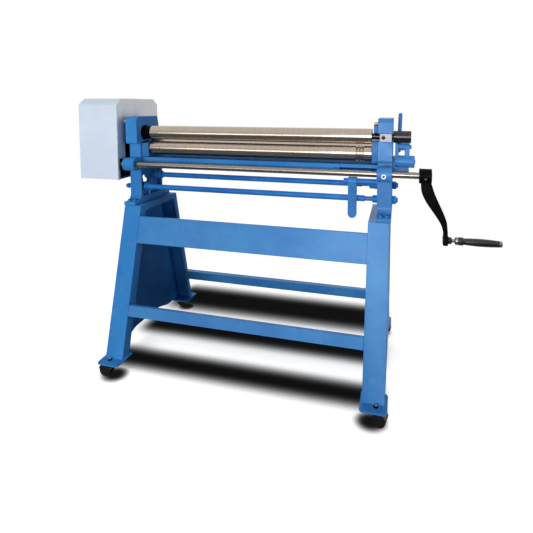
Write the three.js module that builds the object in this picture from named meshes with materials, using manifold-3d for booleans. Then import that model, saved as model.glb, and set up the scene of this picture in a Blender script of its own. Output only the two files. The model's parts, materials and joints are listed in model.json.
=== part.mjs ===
// Hand-cranked slip roll machine on a stand.
// Millimetres, Z up, X along the rolls towards the crank, Y to the back.
import * as THREE from 'three';
import { mergeVertices } from 'three/addons/utils/BufferGeometryUtils.js';
import Module from 'manifold-3d';

const wasm = await Module();
wasm.setup();

// Fits
const gap = 0.3;                     // clearance between pieces that touch
const runningFit = 0.3;              // radial clearance of a shaft in its bore
const cutOver = 1;                   // how far a cutter runs past the face it cuts

// Rolls
const rollDiameter = 62;
const rollLength = 972;
const rollPinchGap = 6;              // open gap between the upper and the lower roll
const rollY = -70;
const upperRollAboveStand = 321;
const rollCollarSpace = 38;          // roll end to head face, gear side
const rollGuideSpace = 28;           // roll end to head face, crank side
const rollSides = 32;
const rollChamfer = 2;
const rearRollBack = 82;             // rear roll axis behind the pinch rolls
const rearRollAboveLower = 1;
const rearRollTravel = 24;
const rearRollEndSpace = 11;
const pinchTravel = 4;
const journalRadius = 14;
const upperJournalRadius = 13;
const upperTipRadius = 10;
const grooveRadii = [4, 3.5, 3];
const grooveFromEnd = [53, 40, 29];

// Stand
const standTopZ = 676;
const footPlateTopZ = 62;
const footPlateThickness = 7;
const topHalfDepth = 167;
const bottomHalfDepth = 335;
const sheet = 4;
const flangeWidth = 80;
const frontLip = 50;
const rearLip = 30;
const topLip = 26;
const headOverhang = 5;              // head's outer face past the side frame
const footPlateAhead = 49;           // foot plate's front past the leg, and its back behind the leg's front
const footPlateBehind = 73;
const footPlateOuterEdge = 10;
const footPlateInnerEdge = 7;
const footPlateCorner = 14;
const webArchHeight = 26;
const webArchHalfTop = 105;
const webArchHalfBottom = 205;
const apronTopZ = 633.5;
const apronHeight = 111;
const apronReturn = 12;
const frontStretcherTopZ = 272;
const frontStretcherHeight = 43;
const frontStretcherReturn = 16;
const rearStretcherTopZ = 234;
const rearStretcherHeight = 42;
const rearStretcherDepth = 34;

// Heads
const headWidth = 56;
const headFrontY = -141;
const columnFrontY = -111;
const headBaseFrontY = -166;
const headBaseBackY = 152;
const headBaseThickness = 16;
const headAboveRoll = 72;            // head top above the upper roll axis
const headBevel = 14;
const headStepRise = 272;            // underside of the gear-side head's front block
const crankHeadStepRise = 224;
const headRearY = 82;
const headRearShoulderRise = 224;
const headRearSlopeHeight = 51;
const headRearSlopeY = 57;
const headRearTopY = 44;
const frontFlange = 12;
const rearFlange = 16;
const pocketDepth = 21;
const pocketBottomRise = 30;
const pocketTopRise = 194;
const pocketCorner = 10;
const windowFrontY = -78;
const windowBackY = -8;
const windowBottomRise = 86;
const windowTopRise = 124;
const blockWidth = 63;               // lower bearing block, across
const blockBelowAxis = 40;
const blockAboveAxis = 22;
const rearBlockWidth = 55;
const rearBlockHalfHeight = 24;
const studRadius = 6;
const studFromFace = 7;
const nutRadius = 13.5;
const nutHeight = 19;
const shelfThickness = 10;
const shelfHalfWidth = 15;

// Upper roll bearings
const swivelX = 26;                  // swivel centre inside the head face, gear side
const ballRadius = 34;
const ballHalfWidth = 11;
const collarRadius = 29;
const collarStart = 3;               // collar to head face
const collarEndGap = 7;
const slotHeight = 31;
const slotBlockFromFace = 8;
const slotBlockWidth = 44;
const slotBlockFrontInset = 1.5;
const slotBlockBehindAxis = 20;
const slotScrewRadius = 7;
const sleeveRadius = 24;
const sleeveFromHead = 3;
const sleeveEnd = 67;
const sleeveWall = 4;
const sleeveChamfer = 1.5;
const dogThickness = 6;
const dogSlotWidth = 10;
const dogLength = 7;
const dogSlotDepth = 9;

// Drive
const crankShaftRadius = 12.5;
const crankBossRadius = 29;
const pinionModule = 3;
const pinionTeeth = 12;
const wheelTeeth = 40;
const rollGearModule = 4;
const rollGearTeeth = 16;
const driverTeeth = 20;
const crankAboveStub = 1.5;
const backlash = 0.5;
const stubRadius = 11;
const stubSeatDepth = 26;             // bottom of the stub's seat below the head's inner face
const outerGearX = 164;              // gear faces, measured out from the head's inner face
const outerGearWidth = 18;
const innerGearX = 109;
const innerGearWidth = 22;

// Gear cover
const coverStandoff = 18;            // grey plate's face to the head's outer face
const coverLength = 198;
const coverHalfDepth = 175;
const coverAboveRoll = 153;          // cover top above the upper roll axis
const coverWheelClearance = 2.15;
const coverChamferY = 41;
const coverChamferZ = 27;
const coverSheet = 2;
const bearingOpeningFront = 48;      // opening in the plate for the roll ends and the stub
const bearingOpeningBack = 35;
const bearingOpeningAbove = 43;
const bearingOpeningBelow = 20;
const shaftSlotFront = 14;
const shaftSlotAbove = 24;
const spacerRadius = 7;

// Crank
const crankRadius = 236;
const hubFromHead = 97;
const hubLength = 44;
const hubRadius = 28;
const armDepth = 28;
// Share of the way down, share of the offset and half width of the arm at its stations.
const armStations = [
  [0.05, 0.02, 19], [0.14, 0.06, 18], [0.26, 0.15, 20], [0.41, 0.35, 20], [0.57, 0.64, 15.5],
  [0.69, 0.84, 12], [0.76, 0.92, 9], [0.86, 0.98, 7.5], [1, 1, 8],
];
const armOffset = 76;                // lower boss past the hub, middle to middle
const lowerBossRadius = 20;
const lowerBossLength = 18;
const spindleRadius = 6.5;
const spindleNutLength = 12;
const spindleNutRadius = 12;
const spindleNeck = 11;
const gripFlangeLength = 12;
const gripFlangeRadius = 15;
const gripLength = 154;
const gripCapLength = 6;

// Tie rods, beam, lock and release
const tieRodRadius = 12;
const tieRodTipRadius = 10;
const frontRodY = -80;
const frontRodRise = 73;
const rearRodY = 24;
const rearRodRise = 114;
const rodBossRadius = 19.5;
const rearRodBossLength = 18;
const rodCollarLength = 14;
const rodStep = 48;                  // thinner stretch at the crank side
const frontCollarRadius = 16;
const rearCollarRadius = 19;
const rodNutStart = 22;              // nut on the front rod's gear-side end, out from the head
const rodNutLength = 12;
const rodNutTip = 6;
const rodNutRadius = 11;
const rodHexRadius = 17;
const rodHexLength = 16;
const rodHexTip = 23;
const beamFrontY = -100;
const beamDepth = 140;
const beamLipHeight = 23;
const beamSheet = 6;
const beamUnderRoll = 11;
const springOuterRadius = 8;
const springWireRadius = 1.1;
const springCurls = 19;
const springReach = 147;             // spring's start, lock shaft's start and strap, in from the head's face
const springY = -97;
const springBelowBeam = 23;
const springRodRadius = 4;
const springEar = 6;
const springCollarRadius = 7.5;
const springCollarLength = 6;
const springRodTail = 10;
const lockShaftRadius = 12;
const lockShaftY = -90;
const lockShaftRise = 142;
const lockShaftReach = 131;
const lockHubRadius = 18;
const strapReach = 113;
const strapWidth = 35;
const strapThickness = 12;
const strapLength = 146;
const releaseDrop = 96;              // release pivot below the upper roll axis
const releasePinRadius = 10;
const releaseHubRadius = 24;
const releaseBarThickness = 17;
const releaseLeverTopRise = 93;      // lever tip above the upper roll axis
const releaseHubLength = 73;
const knuckleRadius = 14;
const knuckleLength = 54;
const releaseRodRadius = 7.5;
const releaseRodBehindSleeve = 4;
const releasePlate = 13;

// Casters
const casterInset = 30;              // stem to the side frame's outer face
const casterFromFront = 35;          // stem to the foot plate's front edge
const casterTrail = 14;
const casterWheelRadius = 24;
const casterWheelInner = 6.5;
const casterWheelOuter = 22;
const casterStemRadius = 6;
const casterStemTop = 6;
const hoodClearance = 1.2;
const hoodSheet = 2.5;
const casterTurns = { front_left: -90, front_right: 80, rear_left: -75, rear_right: 95 };

// Places that follow from the sizes above
const rollRadius = rollDiameter / 2;
const headInnerX = (rollLength + rollCollarSpace + rollGuideSpace) / 2;
const headOuterX = headInnerX + headWidth;
const headTopRise = upperRollAboveStand + headAboveRoll;
const rollStartX = -headInnerX + rollCollarSpace;
const rollEndX = rollStartX + rollLength;
const frameOuterX = headOuterX - headOverhang;
const frameInnerX = frameOuterX - flangeWidth;
const upperRollZ = standTopZ + upperRollAboveStand;
const lowerRollZ = upperRollZ - rollDiameter - rollPinchGap;
const rearRollY = rollY + rearRollBack;
const rearRollZ = lowerRollZ + rearRollAboveLower;
const stubZ = lowerRollZ - rollGearModule * (driverTeeth + rollGearTeeth) / 2;
const crankDistance = pinionModule * (pinionTeeth + wheelTeeth) / 2;
const crankY = rollY - Math.sqrt(crankDistance ** 2 - crankAboveStub ** 2);
const crankZ = stubZ + crankAboveStub;
const wheelTipRadius = pinionModule * (wheelTeeth / 2 + 0.95);
const coverInnerX = headWidth + coverStandoff;
const coverTopZ = upperRollZ + coverAboveRoll;
const coverBottomZ = stubZ - wheelTipRadius - coverWheelClearance - coverSheet;
const hubStartX = headOuterX + hubFromHead;
const springStartX = headInnerX - springReach;
const lockShaftStartX = headInnerX - lockShaftReach;
const strapStartX = headInnerX - strapReach;
const lowerBossX = hubStartX + hubLength / 2 + armOffset;
const lowerBossEndX = lowerBossX + lowerBossLength / 2;
const gripStartX = lowerBossEndX + spindleNutLength + spindleNeck;
const footPlateFront = bottomHalfDepth + footPlateAhead;
const footPlateBack = bottomHalfDepth - footPlateBehind;
const casterX = frameOuterX - casterInset;
const casterY = footPlateFront - casterFromFront;
const pocketTopZ = standTopZ + pocketTopRise;
const shelfTopZ = pocketTopZ - nutHeight - 2 * gap - 2 * runningFit;
const frontRodZ = standTopZ + frontRodRise;
const rearRodZ = standTopZ + rearRodRise;
const lockShaftZ = standTopZ + lockShaftRise;
const beamTopZ = lowerRollZ - rollRadius - beamUnderRoll;
const springZ = beamTopZ - springBelowBeam;
const lowerBlockBottomZ = lowerRollZ - blockBelowAxis;
const lowerBlockTopZ = lowerRollZ + blockAboveAxis;
const releaseZ = upperRollZ - releaseDrop;
const legSlope = (bottomHalfDepth - topHalfDepth) / (standTopZ - footPlateTopZ);

const blue = 0x3f7fc0;
const finishes = {
  paint: { color: blue, roughness: 0.45, metalness: 0.1 },
  lightPaint: { color: 0x5e9bd3, roughness: 0.45, metalness: 0.1 },
  coverPaint: { color: 0xcdd8e6, roughness: 0.4, metalness: 0.05 },
  greySheet: { color: 0xa9abae, roughness: 0.5, metalness: 0.2 },
  groundSteel: { color: 0xcfc8bd, roughness: 0.18, metalness: 1 },
  steel: { color: 0xb9b9b6, roughness: 0.35, metalness: 1 },
  gearSteel: { color: 0x77787a, roughness: 0.5, metalness: 0.9 },
  blackCast: { color: 0x17181a, roughness: 0.5, metalness: 0.2 },
  blackPlastic: { color: 0x1d1d22, roughness: 0.4, metalness: 0 },
  rubber: { color: 0x1c1d20, roughness: 0.8, metalness: 0 },
  brass: { color: 0xd39a1e, roughness: 0.4, metalness: 0.8 },
};

// Solids

function toSolid(geometry) {
  geometry.deleteAttribute('normal');
  geometry.deleteAttribute('uv');
  const merged = mergeVertices(geometry, 1e-4);
  const vertProperties = new Float32Array(merged.attributes.position.array);
  const triVerts = new Uint32Array(merged.index.array);
  let volume = 0;
  const corner = (i) => new THREE.Vector3().fromArray(vertProperties, 3 * triVerts[i]);
  for (let i = 0; i < triVerts.length; i += 3) {
    volume += corner(i).dot(corner(i + 1).cross(corner(i + 2)));
  }
  if (volume < 0) {
    for (let i = 0; i < triVerts.length; i += 3) {
      const first = triVerts[i];
      triVerts[i] = triVerts[i + 1];
      triVerts[i + 1] = first;
    }
  }
  return new wasm.Manifold(new wasm.Mesh({ numProp: 3, vertProperties, triVerts }));
}

function toGeometry(solid) {
  const mesh = solid.getMesh();
  const geometry = new THREE.BufferGeometry();
  const places = new Float32Array(mesh.triVerts.length * 3);
  mesh.triVerts.forEach((v, i) => {
    for (let k = 0; k < 3; k++) places[3 * i + k] = mesh.vertProperties[v * mesh.numProp + k];
  });
  geometry.setAttribute('position', new THREE.BufferAttribute(places, 3));
  geometry.computeVertexNormals();
  return geometry;
}

function join(...solids) {
  return solids.reduce((whole, next) => whole.add(next));
}

function cut(solid, ...cutters) {
  return cutters.reduce((rest, cutter) => rest.subtract(cutter), solid);
}

function piece(name, solid, finish) {
  const mesh = new THREE.Mesh(toGeometry(solid), new THREE.MeshStandardMaterial(finishes[finish]));
  mesh.name = name;
  return mesh;
}

function box(xa, xb, ya, yb, za, zb) {
  const geometry = new THREE.BoxGeometry(Math.abs(xb - xa), Math.abs(yb - ya), Math.abs(zb - za));
  geometry.translate((xa + xb) / 2, (ya + yb) / 2, (za + zb) / 2);
  return toSolid(geometry);
}

function rodX(radius, xa, xb, y, z, sides = 24) {
  const geometry = new THREE.CylinderGeometry(radius, radius, Math.abs(xb - xa), sides);
  geometry.rotateZ(-Math.PI / 2);
  geometry.translate((xa + xb) / 2, y, z);
  return toSolid(geometry);
}

function rodY(radius, x, ya, yb, z, sides = 20) {
  const geometry = new THREE.CylinderGeometry(radius, radius, Math.abs(yb - ya), sides);
  geometry.translate(x, (ya + yb) / 2, z);
  return toSolid(geometry);
}

function rodZ(radius, x, y, za, zb, sides = 20) {
  const geometry = new THREE.CylinderGeometry(radius, radius, Math.abs(zb - za), sides);
  geometry.rotateX(Math.PI / 2);
  geometry.translate(x, y, (za + zb) / 2);
  return toSolid(geometry);
}

function rodBetween(from, to, radius, sides = 12) {
  const along = new THREE.Vector3().subVectors(to, from);
  const geometry = new THREE.CylinderGeometry(radius, radius, along.length(), sides);
  const up = new THREE.Vector3(0, 1, 0);
  const turn = new THREE.Quaternion().setFromUnitVectors(up, along.clone().normalize());
  geometry.applyQuaternion(turn);
  const middle = from.clone().add(to).multiplyScalar(0.5);
  geometry.translate(middle.x, middle.y, middle.z);
  return toSolid(geometry);
}

function ball(radius, centre, sides = 12) {
  const geometry = new THREE.SphereGeometry(radius, sides, sides / 2);
  geometry.translate(centre.x, centre.y, centre.z);
  return toSolid(geometry);
}

function outline(points) {
  return new THREE.Shape(points.map(([u, v]) => new THREE.Vector2(u, v)));
}

function extrude(shape, depth) {
  return new THREE.ExtrudeGeometry(shape, { depth, steps: 1, bevelEnabled: false, curveSegments: 6 });
}

// Outline points are (y, z); the prism runs from xa to xb.
function prismX(points, xa, xb) {
  const geometry = extrude(outline(points), Math.abs(xb - xa));
  geometry.applyMatrix4(new THREE.Matrix4().set(0, 0, 1, 0, 1, 0, 0, 0, 0, 1, 0, 0, 0, 0, 0, 1));
  geometry.translate(Math.min(xa, xb), 0, 0);
  return toSolid(geometry);
}

// Outline points are (x, z); the prism runs from ya to yb.
function prismY(points, ya, yb) {
  const geometry = extrude(outline(points), Math.abs(yb - ya));
  geometry.rotateX(Math.PI / 2);
  geometry.translate(0, Math.max(ya, yb), 0);
  return toSolid(geometry);
}

// Outline points are (x, y); the prism runs from za to zb.
function prismZ(points, za, zb) {
  const geometry = extrude(outline(points), Math.abs(zb - za));
  geometry.translate(0, 0, Math.min(za, zb));
  return toSolid(geometry);
}

// Profile points are (x, radius), closed on the axis of the turned piece.
function turned(profile, y, z, sides = rollSides) {
  const geometry = new THREE.LatheGeometry(profile.map(([x, r]) => new THREE.Vector2(r, x)), sides);
  geometry.rotateZ(-Math.PI / 2);
  geometry.translate(0, y, z);
  return toSolid(geometry);
}

function arc(cu, cv, radius, fromDegrees, toDegrees, steps = 4) {
  return Array.from({ length: steps + 1 }, (_, i) => {
    const angle = THREE.MathUtils.degToRad(fromDegrees + (toDegrees - fromDegrees) * i / steps);
    return [cu + radius * Math.cos(angle), cv + radius * Math.sin(angle)];
  });
}

function roundedRectangle(ua, ub, va, vb, radius, steps = 3) {
  return [
    ...arc(ub - radius, va + radius, radius, -90, 0, steps),
    ...arc(ub - radius, vb - radius, radius, 0, 90, steps),
    ...arc(ua + radius, vb - radius, radius, 90, 180, steps),
    ...arc(ua + radius, va + radius, radius, 180, 270, steps),
  ];
}

// Involute spur gear with a tooth centred on the given angle, in the (y, z) plane.
function gearOutline(module, teeth, toothAngle, y, z) {
  const pressure = THREE.MathUtils.degToRad(20);
  const pitch = module * teeth / 2;
  const base = pitch * Math.cos(pressure);
  const root = pitch - 1.25 * module;
  const tip = pitch + 0.95 * module;
  const involute = (angle) => Math.tan(angle) - angle;
  const halfAtPitch = (Math.PI * module / 2 - backlash) / (2 * pitch);
  const halfAt = (radius) => halfAtPitch + involute(pressure)
    - (radius > base ? involute(Math.acos(base / radius)) : 0);
  const radii = [root, Math.max(base, root + 0.2 * module), pitch, tip];
  const points = [];
  for (let tooth = 0; tooth < teeth; tooth++) {
    const middle = toothAngle + 2 * Math.PI * tooth / teeth;
    const add = (radius, side) => {
      const angle = middle + side * halfAt(radius);
      points.push([y + radius * Math.cos(angle), z + radius * Math.sin(angle)]);
    };
    radii.forEach((radius) => add(radius, -1));
    radii.toReversed().forEach((radius) => add(radius, 1));
  }
  return points;
}

// Stand

function legDepth(z) {
  return topHalfDepth + (standTopZ - z) * legSlope;
}

// Opening in the inner side of the folded frame, with its lips left standing.
function frameOpening() {
  const across = Math.sqrt(1 + legSlope ** 2);
  const bottomZ = footPlateTopZ - cutOver;
  const topZ = standTopZ - topLip;
  return [
    [-legDepth(bottomZ) + frontLip * across, bottomZ], [legDepth(bottomZ) - rearLip * across, bottomZ],
    [legDepth(topZ) - rearLip * across, topZ], [-legDepth(topZ) + frontLip * across, topZ],
  ];
}

function frameOutline(inset) {
  const across = inset * Math.sqrt(1 + legSlope ** 2);
  const bottomZ = inset ? footPlateTopZ - cutOver : footPlateTopZ;
  const topZ = standTopZ - inset;
  return [
    [-legDepth(bottomZ) + across, bottomZ], [legDepth(bottomZ) - across, bottomZ],
    [legDepth(topZ) - across, topZ], [-legDepth(topZ) + across, topZ],
  ];
}

function sideFrame(side) {
  const inner = side * frameInnerX;
  const outer = side * frameOuterX;
  const plateXs = [outer + side * footPlateOuterEdge, inner - side * footPlateInnerEdge].sort((a, b) => a - b);
  const footPlate = (toFront) => {
    const ys = [-toFront * footPlateFront, -toFront * footPlateBack].sort((a, b) => a - b);
    const plate = prismZ(
      roundedRectangle(...plateXs, ...ys, footPlateCorner),
      footPlateTopZ - footPlateThickness, footPlateTopZ,
    );
    const stemHole = rodZ(casterStemRadius + runningFit, side * casterX, -toFront * casterY,
      footPlateTopZ - footPlateThickness - cutOver, footPlateTopZ + cutOver);
    return cut(plate, stemHole);
  };
  const folded = cut(
    prismX(frameOutline(0), inner, outer),
    prismX(frameOutline(sheet), inner + side * sheet, outer - side * sheet),
    prismX(frameOpening(), inner - side * cutOver, inner + side * (sheet + cutOver)),
    prismX([
      [-webArchHalfBottom, footPlateTopZ - cutOver], [webArchHalfBottom, footPlateTopZ - cutOver],
      [webArchHalfTop, footPlateTopZ + webArchHeight], [-webArchHalfTop, footPlateTopZ + webArchHeight],
    ], inner - side * cutOver, outer + side * cutOver),
  );
  return join(folded, footPlate(1), footPlate(-1));
}

// Folded rail between the side frames, its outer face in line with the leg fronts.
function frontRail(topZ, height, returnDepth) {
  const bottomZ = topZ - height;
  const across = sheet * Math.sqrt(1 + legSlope ** 2);
  const filled = [
    [-legDepth(bottomZ), bottomZ], [-legDepth(bottomZ) + returnDepth, bottomZ],
    [-legDepth(topZ) + returnDepth, topZ], [-legDepth(topZ), topZ],
  ];
  const hollow = [
    [-legDepth(bottomZ + sheet) + across, bottomZ + sheet],
    [-legDepth(bottomZ + sheet) + 2 * returnDepth, bottomZ + sheet],
    [-legDepth(topZ - sheet) + 2 * returnDepth, topZ - sheet],
    [-legDepth(topZ - sheet) + across, topZ - sheet],
  ];
  const end = frameInnerX - gap;
  return cut(prismX(filled, -end, end), prismX(hollow, -end - cutOver, end + cutOver));
}

function rearStretcher() {
  const end = frameInnerX - gap;
  const backY = legDepth(rearStretcherTopZ) - gap;
  const frontY = backY - rearStretcherDepth;
  const bottomZ = rearStretcherTopZ - rearStretcherHeight;
  return cut(
    box(-end, end, frontY, backY, bottomZ, rearStretcherTopZ),
    box(-end - cutOver, end + cutOver, frontY + sheet, backY + cutOver,
      bottomZ + sheet, rearStretcherTopZ - sheet),
  );
}

const stand = new THREE.Group();
stand.add(piece('left_stand_frame', sideFrame(-1), 'paint'));
stand.add(piece('right_stand_frame', sideFrame(1), 'paint'));
stand.add(piece('front_apron', frontRail(apronTopZ, apronHeight, apronReturn), 'paint'));
stand.add(piece(
  'front_stretcher', frontRail(frontStretcherTopZ, frontStretcherHeight, frontStretcherReturn), 'paint',
));
stand.add(piece('rear_stretcher', rearStretcher(), 'paint'));

// Heads

function headOutline(frontStepRise) {
  const up = (rise) => standTopZ + rise;
  const flare = 30;
  const rearFlare = 40;
  const stepCorner = 10;
  return [
    [headBaseFrontY, standTopZ + gap], [headBaseBackY, standTopZ + gap],
    [headBaseBackY, up(headBaseThickness)],
    ...arc(headRearY + rearFlare, up(headBaseThickness + rearFlare), rearFlare, 270, 180),
    [headRearY, up(headRearShoulderRise)], [headRearSlopeY, up(headTopRise - headRearSlopeHeight)],
    [headRearTopY, up(headTopRise)],
    [headFrontY + headBevel, up(headTopRise)], [headFrontY, up(headTopRise - headBevel)],
    ...arc(headFrontY + stepCorner, up(frontStepRise + stepCorner), stepCorner, 180, 270),
    [columnFrontY, up(frontStepRise)],
    ...arc(columnFrontY - flare, up(headBaseThickness + flare), flare, 0, -90),
    [headBaseFrontY, up(headBaseThickness)],
  ];
}

function headCasting(side) {
  const at = (depth) => side * (headInnerX + depth);
  const through = (maker) => maker(at(-cutOver), at(headWidth + cutOver));
  const webX = [at(pocketDepth), at(headWidth - pocketDepth)];
  const pocket = roundedRectangle(
    columnFrontY + frontFlange, headRearY - rearFlange,
    standTopZ + pocketBottomRise, pocketTopZ, pocketCorner,
  );
  const windowTop = standTopZ + windowTopRise;
  const windowRadius = (windowBackY - windowFrontY) / 2;
  const webWindow = [
    [windowFrontY, standTopZ + windowBottomRise], [windowBackY, standTopZ + windowBottomRise],
    ...arc((windowFrontY + windowBackY) / 2, windowTop - windowRadius, windowRadius, 0, 180, 8),
  ];
  const shelf = (y) => box(at(0), webX[0], y - shelfHalfWidth, y + shelfHalfWidth,
    shelfTopZ - shelfThickness, shelfTopZ);
  const studHole = (y, topZ) => rodZ(studRadius + runningFit, at(studFromFace), y,
    shelfTopZ - shelfThickness - cutOver, topZ);
  const rodBoss = (y, z, length) => rodX(rodBossRadius, at(-length), at(headWidth), y, z);
  const rodHole = (y, z, length) => rodX(tieRodTipRadius + runningFit,
    at(-length - cutOver), at(headWidth + cutOver), y, z);
  const blockHalf = blockWidth / 2 + gap;
  const rearHalf = rearBlockWidth / 2 + gap;

  let casting = prismX(headOutline(side < 0 ? headStepRise : crankHeadStepRise), at(0), at(headWidth));
  casting = cut(
    casting,
    prismX(pocket, at(-cutOver), webX[0]),
    prismX(pocket, webX[1], at(headWidth + cutOver)),
    through((xa, xb) => prismX(webWindow, xa, xb)),
  );
  casting = join(
    casting,
    rodX(crankBossRadius, at(0), at(headWidth), crankY, crankZ, 28),
    box(at(0), at(headWidth), crankY, columnFrontY + frontFlange,
      crankZ - crankBossRadius * 0.8, crankZ + crankBossRadius * 0.8),
    rodBoss(frontRodY, frontRodZ, 0),
    rodBoss(rearRodY, rearRodZ, rearRodBossLength),
    shelf(rollY),
    shelf(rearRollY),
  );
  casting = cut(
    casting,
    through((xa, xb) => rodX(crankShaftRadius + runningFit, xa, xb, crankY, crankZ)),
    rodHole(frontRodY, frontRodZ, 0),
    rodHole(rearRodY, rearRodZ, rearRodBossLength),
    through((xa, xb) => box(xa, xb, rollY - blockHalf, rollY + blockHalf,
      lowerBlockBottomZ - gap, lowerBlockTopZ + pinchTravel + gap)),
    through((xa, xb) => box(xa, xb, rearRollY - rearHalf, rearRollY + rearHalf,
      rearRollZ - rearBlockHalfHeight - gap, rearRollZ + rearBlockHalfHeight + rearRollTravel + gap)),
    studHole(rollY, lowerRollZ),
    studHole(rearRollY, rearRollZ),
  );
  return casting;
}

function leftHead() {
  const at = (depth) => -(headInnerX + depth);
  return cut(
    join(headCasting(-1), rodX(stubRadius + 7, at(pocketDepth), at(headWidth), rollY, stubZ)),
    rodX(ballRadius + gap, at(-cutOver), at(headWidth + cutOver), rollY, upperRollZ, 28),
    rodX(stubRadius + gap, at(stubSeatDepth), at(headWidth + cutOver), rollY, stubZ),
  );
}

function rightHead() {
  const at = (depth) => headInnerX + depth;
  const slotBackY = rollY + slotBlockBehindAxis + gap;
  return cut(
    join(
      headCasting(1),
      rodX(lockHubRadius, at(0), at(headWidth - pocketDepth), lockShaftY, lockShaftZ),
      rodX(springCollarRadius + 2, at(0), at(pocketDepth), springY, springZ, 16),
    ),
    box(at(-cutOver), at(headWidth + cutOver), headFrontY - cutOver, slotBackY,
      upperRollZ - slotHeight / 2, upperRollZ + slotHeight / 2),
    rodX(lockShaftRadius + runningFit, at(-cutOver), at(headWidth - pocketDepth + cutOver),
      lockShaftY, lockShaftZ),
    rodX(springRodRadius + runningFit, at(-cutOver), at(pocketDepth - 4), springY, springZ, 12),
  );
}

const heads = new THREE.Group();
heads.add(piece('left_head', leftHead(), 'paint'));
heads.add(piece('right_head', rightHead(), 'paint'));

// Bearing blocks, studs and adjusting nuts

function lowerBlock(side) {
  const inner = side < 0 ? -rollStartX + gap + 3 : headInnerX + gap;
  const outer = headOuterX - 2;
  const half = blockWidth / 2;
  const studX = side * (headInnerX + studFromFace);
  return cut(
    join(
      box(side * inner, side * outer, rollY - half, rollY + half, lowerBlockBottomZ, lowerBlockTopZ),
      rodZ(studRadius, studX, rollY, shelfTopZ - shelfThickness - 6, lowerBlockBottomZ + cutOver),
    ),
    rodX(journalRadius + runningFit, side * (inner - cutOver), side * (outer + cutOver), rollY, lowerRollZ),
  );
}

function rearBlock(side) {
  const inner = headInnerX + gap;
  const outer = headOuterX - 2;
  const half = rearBlockWidth / 2;
  const studX = side * (headInnerX + studFromFace);
  const bottomZ = rearRollZ - rearBlockHalfHeight;
  return cut(
    join(
      box(side * inner, side * outer, rearRollY - half, rearRollY + half,
        bottomZ, rearRollZ + rearBlockHalfHeight),
      rodZ(studRadius, studX, rearRollY, shelfTopZ - shelfThickness - rearRollTravel - 5, bottomZ + cutOver),
    ),
    rodX(journalRadius + runningFit, side * (inner - cutOver), side * (outer + cutOver), rearRollY, rearRollZ),
  );
}

function adjustingNut() {
  const barHole = 3;
  return cut(
    rodZ(nutRadius, 0, 0, 0, nutHeight, 16),
    rodZ(studRadius + runningFit, 0, 0, -cutOver, nutHeight + cutOver, 16),
    rodX(barHole, -2 * nutRadius, 2 * nutRadius, 0, nutHeight / 2, 8),
  );
}

const blocks = new THREE.Group();
for (const [label, side] of [['left', -1], ['right', 1]]) {
  blocks.add(piece(`lower_block_${label}`, lowerBlock(side), 'lightPaint'));
  blocks.add(piece(`rear_block_${label}`, rearBlock(side), 'lightPaint'));
  for (const [row, y] of [['pinch', rollY], ['rear', rearRollY]]) {
    const nut = piece(`${row}_nut_${label}`, adjustingNut(), 'steel');
    nut.position.set(side * (headInnerX + studFromFace), y, shelfTopZ + gap);
    blocks.add(nut);
  }
}

// Rolls

function upperRoll() {
  const tip = headOuterX + sleeveEnd - sleeveWall - gap - 2;
  const shoulder = headInnerX + slotBlockFromFace - 3;
  const driveEnd = -(headInnerX + swivelX + 11);
  const body = turned([
    [driveEnd, 0], [driveEnd, upperJournalRadius], [rollStartX, upperJournalRadius],
    [rollStartX, rollRadius - rollChamfer], [rollStartX + rollChamfer, rollRadius],
    [rollEndX - rollChamfer, rollRadius], [rollEndX, rollRadius - rollChamfer],
    [rollEndX, upperJournalRadius], [shoulder, upperJournalRadius],
    [shoulder, upperTipRadius], [tip, upperTipRadius], [tip, 0],
  ], rollY, upperRollZ);
  const slotHalf = dogSlotWidth / 2;
  const slot = box(driveEnd - cutOver, driveEnd + dogSlotDepth, rollY - slotHalf, rollY + slotHalf,
    upperRollZ - rollRadius, upperRollZ + rollRadius);
  return cut(body, slot);
}

function lowerRoll() {
  const gearSeat = headInnerX + innerGearX - 7;
  const shaftEnd = headInnerX + innerGearX + innerGearWidth + 3;
  const grooves = grooveFromEnd.flatMap((fromEnd, i) => {
    const x = rollEndX - fromEnd;
    const r = grooveRadii[i];
    return [[x - r, rollRadius], [x - r * 0.5, rollRadius - r * 0.85],
      [x + r * 0.5, rollRadius - r * 0.85], [x + r, rollRadius]];
  });
  return turned([
    [-shaftEnd, 0], [-shaftEnd, stubRadius], [-gearSeat, stubRadius], [-gearSeat, journalRadius],
    [rollStartX, journalRadius], [rollStartX, rollRadius - rollChamfer], [rollStartX + rollChamfer, rollRadius],
    ...grooves,
    [rollEndX - rollChamfer, rollRadius], [rollEndX, rollRadius - rollChamfer],
    [rollEndX, journalRadius], [headOuterX - 4, journalRadius], [headOuterX - 4, 0],
  ], rollY, lowerRollZ);
}

function rearRoll() {
  const end = headInnerX - rearRollEndSpace;
  const tip = headOuterX - 4;
  return turned([
    [-tip, 0], [-tip, journalRadius], [-end, journalRadius], [-end, rollRadius - rollChamfer],
    [-end + rollChamfer, rollRadius], [end - rollChamfer, rollRadius], [end, rollRadius - rollChamfer],
    [end, journalRadius], [tip, journalRadius], [tip, 0],
  ], rearRollY, rearRollZ);
}

const rolls = new THREE.Group();
rolls.add(piece('upper_roll', upperRoll(), 'groundSteel'));
rolls.add(piece('lower_roll', lowerRoll(), 'groundSteel'));
rolls.add(piece('rear_roll', rearRoll(), 'groundSteel'));

// Upper roll bearings: swivel at the gear side, open-slot block and sleeve at the crank side

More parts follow.
